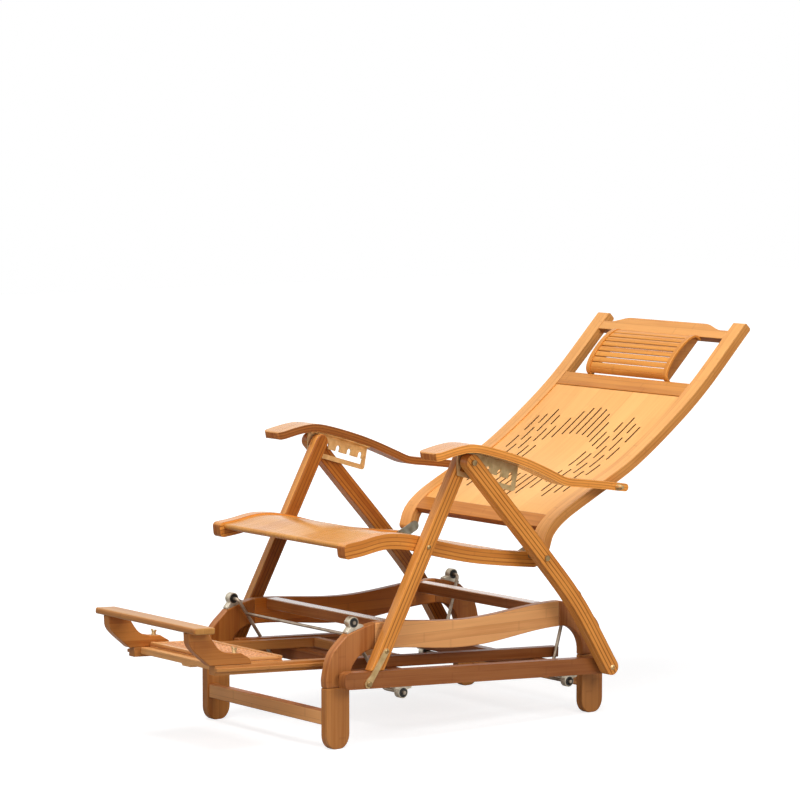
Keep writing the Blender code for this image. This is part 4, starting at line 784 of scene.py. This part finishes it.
crest = [(back_inside, 0), (back_inside, CREST_END)]
for step in range(CREST_STEPS + 1):
    share = step / CREST_STEPS
    crest.append((CREST_FLAT + CREST_SWEEP * (1 - share), CREST_END + CREST_RISE * swell(share)))
back_bar("crest_rail", crest_low, crest, CREST)
back_bar("mid_rail", mid_low, [(back_inside, 0), (back_inside, MID_HEIGHT)], BAR)
back_bar("lower_rail", LOWER_START, [(back_inside, 0), (back_inside, LOWER_HEIGHT)], BAR)

# Back panel: a flat board, pierced, then bent to the back's line
PANEL_ROWS = 56
SLIT_PITCH = 0.0226
SLIT_HALF = 0.0025
SLIT_DROP = 0.011        # pattern's middle below the panel's
SLIT_COLUMNS = [
    [(0.087, 0.186)],
    [(0.085, 0.182)],
    [(0.08, 0.168)],
    [(0.065, 0.14)],
    [(-0.031, 0.031), (0.052, 0.107)],
    [(-0.027, 0.027), (0.043, 0.094), (0.109, 0.145)],
    [(0.01, 0.059), (0.08, 0.165)],
    [(-0.027, 0.027), (0.043, 0.094), (0.109, 0.145)],
    [(0.01, 0.06), (0.078, 0.136)],
]
panel_start = lower_high + GAP * 2
panel_end = mid_low - GAP * 2
panel_front = BACK_HALF - BACK_PANEL_INSET


def slit_places():
    """Place across, middle along the back and length of each slit: one quarter, mirrored both ways."""
    centre = (panel_start + panel_end) / 2 - SLIT_DROP
    for column, stretches in enumerate(SLIT_COLUMNS):
        for side in (1, -1) if column else (1,):
            for low, high in stretches:
                for end in (1, -1) if low > 0 else (1,):
                    yield side * column * SLIT_PITCH, centre + end * (low + high) / 2, high - low


def pierced_panel():
    """Flat panel with its slits cut, X across, Y along the back."""
    rows = []
    for row in range(PANEL_ROWS + 1):
        s = panel_start + (panel_end - panel_start) * row / PANEL_ROWS
        rows.append(section(-back_inside, back_inside, (s, panel_front - BACK_PANEL_THICK), (s, panel_front)))
    solids = [skin(rows)]
    for x, s, length in slit_places():
        reach = Vector((0, length / 2 - SLIT_HALF))
        outline = arc(Vector((x, s)) + reach, SLIT_HALF, 0, 180, 6)
        outline += arc(Vector((x, s)) - reach, SLIT_HALF, 180, 360, 6)
        solids.append(slab(outline, -0.05, 0.05, WORLD))
    for solid in solids:
        bmesh.ops.recalc_face_normals(solid, faces=solid.faces)
    board = linked("panel_flat", mesh_of("panel_flat", solids[0]))
    slits = linked("panel_slits", mesh_of("panel_slits", joined(solids[1:])))
    cut = board.modifiers.new("slits", "BOOLEAN")
    cut.operation = "DIFFERENCE"
    cut.object = slits
    bpy.context.view_layer.update()
    shape = board.evaluated_get(bpy.context.evaluated_depsgraph_get())
    pierced = bmesh.new()
    pierced.from_mesh(shape.to_mesh())
    shape.to_mesh_clear()
    for obj in (board, slits):
        bpy.data.objects.remove(obj, do_unlink=True)
    return pierced


panel = pierced_panel()
for vertex in panel.verts:
    x, s, out = vertex.co
    point, _, normal = BACK.at(s)
    vertex.co = (x, *(point + normal * out))
# slit walls take the dark material, painted shade inside the slits
piece("pierced_back", panel, "back", (PALE, SLIT_SHADE), ["back_panel"], BACK.grain)

# Headrest pillow: bent rims, recessed end boards and separate slats
HOOP_STEPS = 24
HOOP_FOOT = 0.003
RIM_SPAN = Vector((PILLOW_HALF - 0.014, PILLOW_HALF))
RIM_LOW = 0.0004
RIM_HIGH = 0.0058
END_INSET = 0.0062       # end boards inside the hoop, and at its feet
END_FOOT_INSET = 0.005
END_SPAN = Vector((PILLOW_HALF - 0.0135, PILLOW_HALF - 0.0085))
END_TRIM = 0.02          # share of the hoop left off at each foot
SLATS = 10
SLAT_START = 0.013
SLAT_DEPTH = 0.0058
SLAT_END = 0.0143
SLAT_SECTION = ((-0.0056, -0.003), (0.0056, -0.003), (0.0071, 0.0012), (0.005, 0.0026), (0.0, 0.0031),
                (-0.005, 0.0026), (-0.0071, 0.0012))
pillow_low = mid_high + GAP * 2
pillow_high = crest_low - GAP * 2
pillow_point, pillow_run, pillow_out = BACK.at((pillow_low + pillow_high) / 2)
pillow_half = (pillow_high - pillow_low) / 2


def bulge(share):
    """Point of the pillow's round for a share of its half turn."""
    turn = math.pi * share
    rise = PILLOW_FOOT + PILLOW_RISE * math.sin(turn) ** PILLOW_FULLNESS
    return pillow_point - pillow_run * pillow_half * math.cos(turn) + pillow_out * rise


hoop_points = [bulge(step / HOOP_STEPS) for step in range(HOOP_STEPS, -1, -1)]
foot_a = pillow_point - pillow_run * pillow_half + pillow_out * HOOP_FOOT
foot_b = pillow_point + pillow_run * pillow_half + pillow_out * HOOP_FOOT
HOOP = Line(hoop_points, 3)
RIM = Line([foot_b] + hoop_points + [foot_a], 3)
end_board = [foot_a + pillow_run * END_FOOT_INSET, foot_b - pillow_run * END_FOOT_INSET]
for place in range(HOOP_STEPS + 1):
    point = HOOP.at(HOOP.length * (END_TRIM + (1 - 2 * END_TRIM) * place / HOOP_STEPS))[0]
    end_board.append(point + (pillow_point - point).normalized() * END_INSET)
for name, side in SIDES:
    rim = swept(RIM, RIM_LOW, RIM_HIGH, flat(RIM_SPAN * side), step=0.006)
    rim_nodes = ["head_pillow"] if side == 1 else []
    piece("pillow_rim_" + name, eased(rim, RIM_EASE), "back", (ORANGE, HONEY_EDGE), rim_nodes,
          RIM.grain)
    board = slab(end_board, *(END_SPAN * side))
    # end boards take the wood with painted shade
    piece("pillow_end_" + name, eased(board, END_EASE), "back", (END_BOARD_SHADE,), (),
          with_axis(1))
for slat in range(SLATS):
    point, tangent, inward = HOOP.at(SLAT_START + (HOOP.length - 2 * SLAT_START) * slat / (SLATS - 1))
    centre = point + inward * SLAT_DEPTH
    outline = [centre + tangent * along - inward * out for along, out in SLAT_SECTION]
    bar = slab(outline, -PILLOW_HALF + SLAT_END, PILLOW_HALF - SLAT_END)
    piece(f"pillow_slat_{slat + 1}", eased(bar, SLAT_EASE, 2, 50), "back", (ORANGE,),
          (), with_axis(0))

# Armrests
ARM_IN, ARM_OUT = across_of("armrest_left")
arm_waist = ARM_BOLT.x - ARM_REAR_WIDTH
arm_middle = (LEG_TOP.x + arm_waist) / 2
arm_drawn = ARM_OUT - ARM_IN - ARM_FLARE - ARM_REAR_WIDTH
# Places along the chair, with the share of the outer edge's draw and with the inner edge's flare
OUTER_DRAW = [(LEG_TOP.x, 0.0), (arm_middle - 0.05, 0.2), (arm_middle, 0.45), (arm_middle + 0.06, 0.76),
              (arm_waist - 0.02, 0.98), (arm_waist, 1.0)]
INNER_FLARE = [(LEG_TOP.x - 0.01, 0.0), (LEG_TOP.x + 0.03, 0.0022), (arm_middle - 0.04, ARM_FLARE - 0.001),
               (arm_middle, ARM_FLARE)]


def between(pairs, y):
    """Value at a place by straight steps between (place, value) pairs."""
    for (y_a, a), (y_b, b) in zip(pairs, pairs[1:]):
        if y <= y_b:
            return a + (b - a) * max((y - y_a) / (y_b - y_a), 0.0)
    return pairs[-1][1]


def arm_across(side):
    """Width of an armrest along its line: round front corners, drawn in towards the rear."""
    def read(place):
        y = ARM.at(place)[0].x
        short = max(ARM_CORNER - place, 0.0)
        corner = ARM_CORNER - math.sqrt(ARM_CORNER ** 2 - short ** 2)
        inner = ARM_IN + between(INNER_FLARE, y) + corner
        outer = ARM_OUT - arm_drawn * between(OUTER_DRAW, y) - corner
        return side * inner, side * outer
    return read


for name, side in SIDES:
    # inner faces of the armrests take the copy with painted shade; the top colour carries a painted highlight
    bent_board("armrest_", name, "arm_" + name, ARM, ARM_HALF, arm_across(side), ARM_CAPS,
               (ARM_TOP, ARM_EDGE, ARM_INNER_SHADE), step=0.007)
    dressed("toothed_plate_" + name, "arm_" + name, (OLIVE,), corner=PLATE_CORNER)
    dressed("arm_bolt_" + name, "back", (OLIVE,))

# Latch hooks with their screws, and the studs on the carriage rails
STUD_SHANK = 0.0036
STUD_HEAD = 0.0066
STUD_CROWN = 0.005
hook_face = FRONT_LEG_SPAN[1] + HOOK_THICK
stud_foot = across_of("carriage_rail_left")[1]
stud_neck = hook_face + GAP - stud_foot
STUD = [(0.0, STUD_SHANK), (stud_neck, STUD_SHANK), (stud_neck, STUD_HEAD), (stud_neck + 0.0019, STUD_HEAD),
        (stud_neck + 0.0033, STUD_CROWN)]
for name, side in SIDES:
    dressed("latch_hook_" + name, "hook_" + name, (OLIVE,))
    screw("hook_screw_" + name, HOOK, hook_face, side, "hook_" + name, BRASS, 0.005, 0.003)
    stud("hook_stud_" + name, STUD, HOOK_STUD, stud_foot, side, "carriage", BRASS)

# Carriage and footrest
for name, side in SIDES:
    dressed("carriage_rail_" + name, "carriage", (BROWN,), with_axis(1), RAIL_EASE)
    dressed("footrest_track_" + name, "carriage", (BROWN,), with_axis(1))
    dressed("footrest_rail_" + name, "footrest", (FOOT,), with_axis(1))
    dressed("foot_bracket_" + name, "footrest", (BRACKET,), with_axis(1), FINE_EASE)
    dressed("wing_nut_" + name, "wing_nut_" + name, (OLIVE,))
for end, _ in ENDS:
    dressed("carriage_cross_" + end, "carriage", (BROWN,), with_axis(0))
for end, _ in ENDS:
    dressed(f"footrest_{end}_rail", "footrest", (TRAY,), with_axis(0))

# Massage panel: a tray with rims and rows of turned beads on it
TRAY_RIM = 0.012
TRAY_SINK = 0.0085       # floor below the rims
SIDE_RIM_DROP = 0.001
BEAD_ROWS = 7
BEADS_EACH = 17
BEAD_ROOM = 0.0005
BEAD_RADIUS = 0.0075
BEAD_PROFILE = ((0.04, 0.004), (0.1, 0.0056), (0.25, 0.007), (0.5, BEAD_RADIUS), (0.75, 0.007),
                (0.9, 0.0056), (0.96, 0.004))
tray_inside = across_of("footrest_front_rail")[1]
tray_fore = WING.x - FOOT_FRONT + TRAY_SET_BACK
tray_aft = tray_fore + TRAY_LENGTH
tray_top = WING.y - FOOT_DROP + TRAY_RISE
floor_top = tray_top - TRAY_SINK
beads_fore = tray_fore + TRAY_RIM
beads_aft = tray_aft - TRAY_RIM


def block(y_a, y_b, z_a, z_b, ease, x_a=-tray_inside, x_b=tray_inside):
    """Block of the massage panel between places along, up and across."""
    return eased(slab([(y_a, z_a), (y_b, z_a), (y_b, z_b), (y_a, z_b)], x_a, x_b), ease)


tray = [block(tray_fore, tray_aft, tray_top - TRAY_DEPTH, floor_top, FINE_EASE),
        block(tray_fore, beads_fore, floor_top + GAP, tray_top, BAR_EASE),
        block(beads_aft, tray_aft, floor_top + GAP, tray_top, BAR_EASE)]
piece("massage_tray", joined(tray), "footrest", (TRAY,), ["massage_panel"], with_axis(0))
side_rims = [block(beads_fore, beads_aft, floor_top + GAP, tray_top - SIDE_RIM_DROP, BAR_EASE,
                   side * (tray_inside - TRAY_RIM), side * tray_inside) for _, side in SIDES]
piece("massage_side_rims", joined(side_rims), "footrest", (TRAY,), (), with_axis(1))
bead_reach = tray_inside - TRAY_RIM - BEAD_ROOM
bead_long = 2 * bead_reach / BEADS_EACH
barrel = []
for bead in range(BEADS_EACH):
    start = -bead_reach + bead * bead_long
    barrel += [(start + share * bead_long, radius) for share, radius in BEAD_PROFILE]
rows = []
for row in range(BEAD_ROWS):
    y = beads_fore + (beads_aft - beads_fore) * (row + 0.5) / BEAD_ROWS
    rows.append(turned(barrel, Matrix.Translation((0, y, tray_top - BEAD_RADIUS)), 12))
piece("massage_beads", joined(rows), "footrest", (BEADS,), (), with_axis(0))

dressed("foot_bar", "footrest", (FOOT_BAR, FOOT), with_axis(0), BAR_EASE)

# Base: wavy rail, knee pieces and shins of each side
BASE_SPAN = across_of("base_side_left")
SHIN_TOP = 0.135         # seam between knee piece and shin
SEAM = 0.00015
RAIL_STEPS = 48
half_base = (BASE_HIGH.y - BASE_LOW.y) / 2
knee_seam = half_base - KNEE_REACH
leg_inner = half_base - BASE_LEG


def rail_top(y):
    """Height of the side rail's upper edge, lowest in its middle."""
    return BASE_TOP - RAIL_DIP * (1 - swell(y / knee_seam))


def rail_bottom(y):
    """Height of the side rail's lower edge, lowest in its middle."""
    return BASE_TOP - RAIL_DIP - RAIL_DEPTH + RAIL_ARCH * swell(y / knee_seam)


def knee_outline():
    """Rear knee piece: seam, hollow corner, shin seam, round knee, bearing land."""
    under = rail_bottom(knee_seam)
    land = Vector((half_base - LAND_INSET, BASE_TOP - LAND_DROP))
    run = Vector((math.cos(LAND_SLOPE), -math.sin(LAND_SLOPE))) * LAND_LENGTH / 2
    knee = Line([(half_base, SHIN_TOP + SEAM), (half_base, BASE_TOP - KNEE_RADIUS),
                 (half_base - KNEE_RADIUS * 0.15, BASE_TOP - KNEE_RADIUS * 0.55), land + run], 7)
    corner = (leg_inner - CORNER_RADIUS, under - CORNER_RADIUS)
    outline = [(knee_seam + SEAM, under)] + arc(corner, CORNER_RADIUS, 90, 0, 14)
    outline += [(leg_inner, SHIN_TOP + SEAM)] + knee.points
    return outline + [land - run, (knee_seam + SEAM, rail_top(knee_seam))]


def shin_outline():
    """Rear shin with its round foot."""
    sole = [(SOLE_REACH * (1 - c), SOLE_RISE * (1 - s)) for c, s in quarter(8)]
    outline = [(leg_inner, SHIN_TOP - SEAM)]
    outline += [(leg_inner + y, z) for y, z in sole]
    outline += [(half_base - y, z) for y, z in reversed(sole)]
    return outline + [(half_base, SHIN_TOP - SEAM)]


rail_half = knee_seam - SEAM
rail_places = [rail_half * (2 * step / RAIL_STEPS - 1) for step in range(RAIL_STEPS + 1)]
for name, side in SIDES:
    span = BASE_SPAN * side
    rail = skin([section(*span, (y, rail_bottom(y)), (y, rail_top(y))) for y in rail_places])
    # the base rail's inner faces take the copy with painted shade
    piece("base_rail_" + name, eased(rail, BASE_EASE, 3), "base",
          (RAIL_TOP, RAIL, RAIL_INNER_SHADE), ["base_side_" + name], with_axis(1), BASE)
    for end, sign in ENDS:
        # inner faces: knee pieces take a copy with painted shade, shins a lighter copy with painted light
        for part, outline, face, inner in (("knee", knee_outline(), KNEE, KNEE_INNER_SHADE),
                                           ("shin", shin_outline(), SHIN, SHIN_INNER_LIT)):
            board = slab([(sign * y, z) for y, z in outline], *span)
            piece(f"base_{part}_{end}_{name}", eased(board, BASE_EASE, 3, 30), "base",
                  (face, face, inner), (), with_axis(2), BASE)
for end, _ in ENDS:
    dressed(end + "_stretcher", "base", (KNEE, RAIL), with_axis(0), place=BASE)
for end, _ in ENDS:
    # top faces of the cross rails take the pale wood with a painted highlight
    dressed("base_cross_rail_" + end, "base", (GLOSS_HIGHLIGHT, KNEE), with_axis(0), place=BASE)

# Bearings: cast housing, dark bush, two screws through the foot
UPPER = {"front": Vector(JOINTS["swing"]["pos_m"]), "rear": Vector(JOINTS["rear_swing"]["pos_m"])}
LOWER = {"front": PIVOT, "rear": CHAIR @ Vector((0, *LOWER_SPAN))}
UPPER_BORE = 0.0046
LOWER_BORE = {"front": UPPER_BORE, "rear": 0.007}    # the rear ones have play
BUSH_RADIUS = 0.0104
BUSH_HALF = 0.0092
FOOT_THICK = 0.0038
FOOT_SCREW = 0.0182      # from the pivot along the foot
FOOT_SCREW_HEAD = [(0, 0.0042), (0.0016, 0.0042), (0.0026, 0.0034), (0.003, 0.0018), (0.0016, 0.0014)]


def bearing_trim(name, pivot, body, run, rise, foot, bore):
    """Bush and foot screws of one bearing."""
    x = middle(name).x
    ring = [(-BUSH_HALF, bore), (-BUSH_HALF, BUSH_RADIUS), (BUSH_HALF, BUSH_RADIUS), (BUSH_HALF, bore)]
    bush = turned(ring, Matrix.Translation((x, pivot.y, pivot.z)), ring=True)
    piece("bush_" + name, bush, body, (BUSH,), place=WORLD)
    upright = rise.to_track_quat("X", "Y").to_matrix().to_4x4()
    heads = []
    for sign in (-1, 1):
        spot = pivot + run * sign * FOOT_SCREW + rise * (foot + FOOT_THICK)
        heads.append(turned(FOOT_SCREW_HEAD, Matrix.Translation((x, spot.y, spot.z)) @ upright, 16))
    piece("bearing_screws_" + name, joined(heads), body, (ZINC,), place=WORLD)


for end, sign in ENDS:
    run = Vector((0, sign * math.cos(LAND_SLOPE), -math.sin(LAND_SLOPE)))
    rise = Vector((0, sign * math.sin(LAND_SLOPE), math.cos(LAND_SLOPE)))
    for name, side in SIDES:
        upper = f"upper_bearing_{end}_{name}"
        lower = f"lower_bearing_{end}_{name}"
        dressed(upper, "base", (CAST,), ease=FINE_EASE, place=BASE)
        dressed(lower, "carriage", (CAST,), ease=FINE_EASE)
        bearing_trim(upper, UPPER[end], "base", run, rise, UPPER_FOOT, UPPER_BORE)
        bearing_trim(lower, LOWER[end], "carriage", ALONG, -UP, LOWER_FOOT, LOWER_BORE[end])

# Swing frames: bent rods with a tie rod
UPPER_END = BASE_SPAN[1]
LOWER_END = FRONT_LEG_SPAN[1] + PIN_PROUD
SWING_X = BASE_SPAN[0] - SWING_INSET
BEND = 0.008
BEND_STEPS = 8


def swing_route(side, upper, lower):
    """Rod from its upper pin down the arm to its lower pin."""
    down = (lower - upper).normalized()
    out = Vector((side, 0, 0))
    high = Vector((side * SWING_X, upper.y, upper.z))
    low = Vector((side * SWING_X, lower.y, lower.z))
    bends = quarter(BEND_STEPS)
    route = [Vector((side * UPPER_END, upper.y, upper.z))]
    route += [high + (out * (1 - s) + down * (1 - c)) * BEND for c, s in bends]
    route += [low + (out * (1 - c) - down * (1 - s)) * BEND for c, s in bends]
    return route + [Vector((side * LOWER_END, lower.y, lower.z))]


for end, _ in ENDS:
    upper, lower = UPPER[end], LOWER[end]
    rods = [tube(swing_route(side, upper, lower), PIN_RADIUS) for _, side in SIDES]
    tie = upper + (lower - upper).normalized() * TIE_DROP
    tie_end = Vector((SWING_X, 0, 0))
    rods.append(tube([tie + tie_end * share for share in (-1, -0.3, 0.3, 1)], TIE_RADIUS))
    piece("swing_rods_" + end, joined(rods), end + "_swing", (ROD,), [end + "_swing_frame"],
          place=WORLD)


# Stage: pale floor, soft lamps, camera at the photograph's angle
SKY = (0.94, 0.96, 1.0, 1)
SKY_STRENGTH = 0.24
WHITE = (1, 1, 1, 1)
FLOOR_REACH = 14.0
FLOOR_GREY = (0.45, 0.45, 0.45, 1)
SHADE = 0.24             # painted shade: the floor's glow is dimmed this much under the chair
SHADE_START = 0.7
SHADE_WIDTH = 1.6
LAMP_AIM = Vector((0, 0, 0.4))
LAMPS = (("top_light", 2.2, 75, (0.6, -0.9, 3.0)),
         ("front_light", 1.8, 26, (1.6, -3.2, 2.2)),
         ("side_light", 1.6, 41, (3.2, 0.2, 2.0)))
CAMERA_PLACE = (6.143, -4.8396, 1.429)
CAMERA_TILT = 90 - 5.21
CAMERA_TURN = 52.17
CAMERA_LENS = 156.0

scene = bpy.context.scene
scene.view_settings.view_transform = "Standard"

# The sky lights the chair softly, and looks white to the camera and in reflections
sky = Graph(bpy.data.worlds.new("studio"), "Background")
scene.world = sky.owner
sky.set(Color=SKY, Strength=SKY_STRENGTH)
white = sky.node("ShaderNodeBackground", 0, {"Color": WHITE})
seen = 0.0
for ray in ("Is Camera Ray", "Is Glossy Ray", "Is Transmission Ray"):
    seen = sky.math("MAXIMUM", sky.node("ShaderNodeLightPath", ray), seen)
light = sky.node("ShaderNodeMixShader", 0, enumerate((seen, sky.shader.outputs[0], white)))
sky.feed(sky.tree.nodes["World Output"].inputs["Surface"], light)

floor_mesh = bpy.data.meshes.new("floor")
corners = [(x * FLOOR_REACH, y * FLOOR_REACH, 0) for x, y in ((-1, -1), (1, -1), (1, 1), (-1, 1))]
floor_mesh.from_pydata(corners, [], [(0, 1, 2, 3)])
floor = linked("floor", floor_mesh)
ground = Graph(bpy.data.materials.new("pale_floor"))
to_camera = ground.node("ShaderNodeLightPath", "Is Camera Ray")
spot = ground.node("ShaderNodeTexCoord", "Object")
away = ground.node("ShaderNodeVectorMath", "Value", {0: spot}, operation="LENGTH")
# painted shade: the floor's camera glow is dimmed near the chair, fading out with distance
under = ground.near(ground.minus(away, SHADE_START), SHADE_WIDTH)
glow = ground.minus(1.0, ground.times(under, SHADE))
ground.set(Base_Color=FLOOR_GREY, Roughness=0.9, Emission_Color=WHITE,
           Emission_Strength=ground.times(to_camera, glow))
floor_mesh.materials.append(ground.owner)

for name, size, energy, place in LAMPS:
    disk = bpy.data.lights.new(name, "AREA")
    disk.shape = "DISK"
    disk.size = size
    disk.energy = energy
    lamp = linked(name, disk)
    lamp.location = place
    lamp.rotation_euler = (LAMP_AIM - Vector(place)).to_track_quat("-Z", "Y").to_euler()

lens = bpy.data.cameras.new("camera")
lens.lens = CAMERA_LENS
lens.clip_end = 60
camera = linked("camera", lens)
camera.location = CAMERA_PLACE
camera.rotation_euler = (math.radians(CAMERA_TILT), 0, math.radians(CAMERA_TURN))
scene.camera = camera
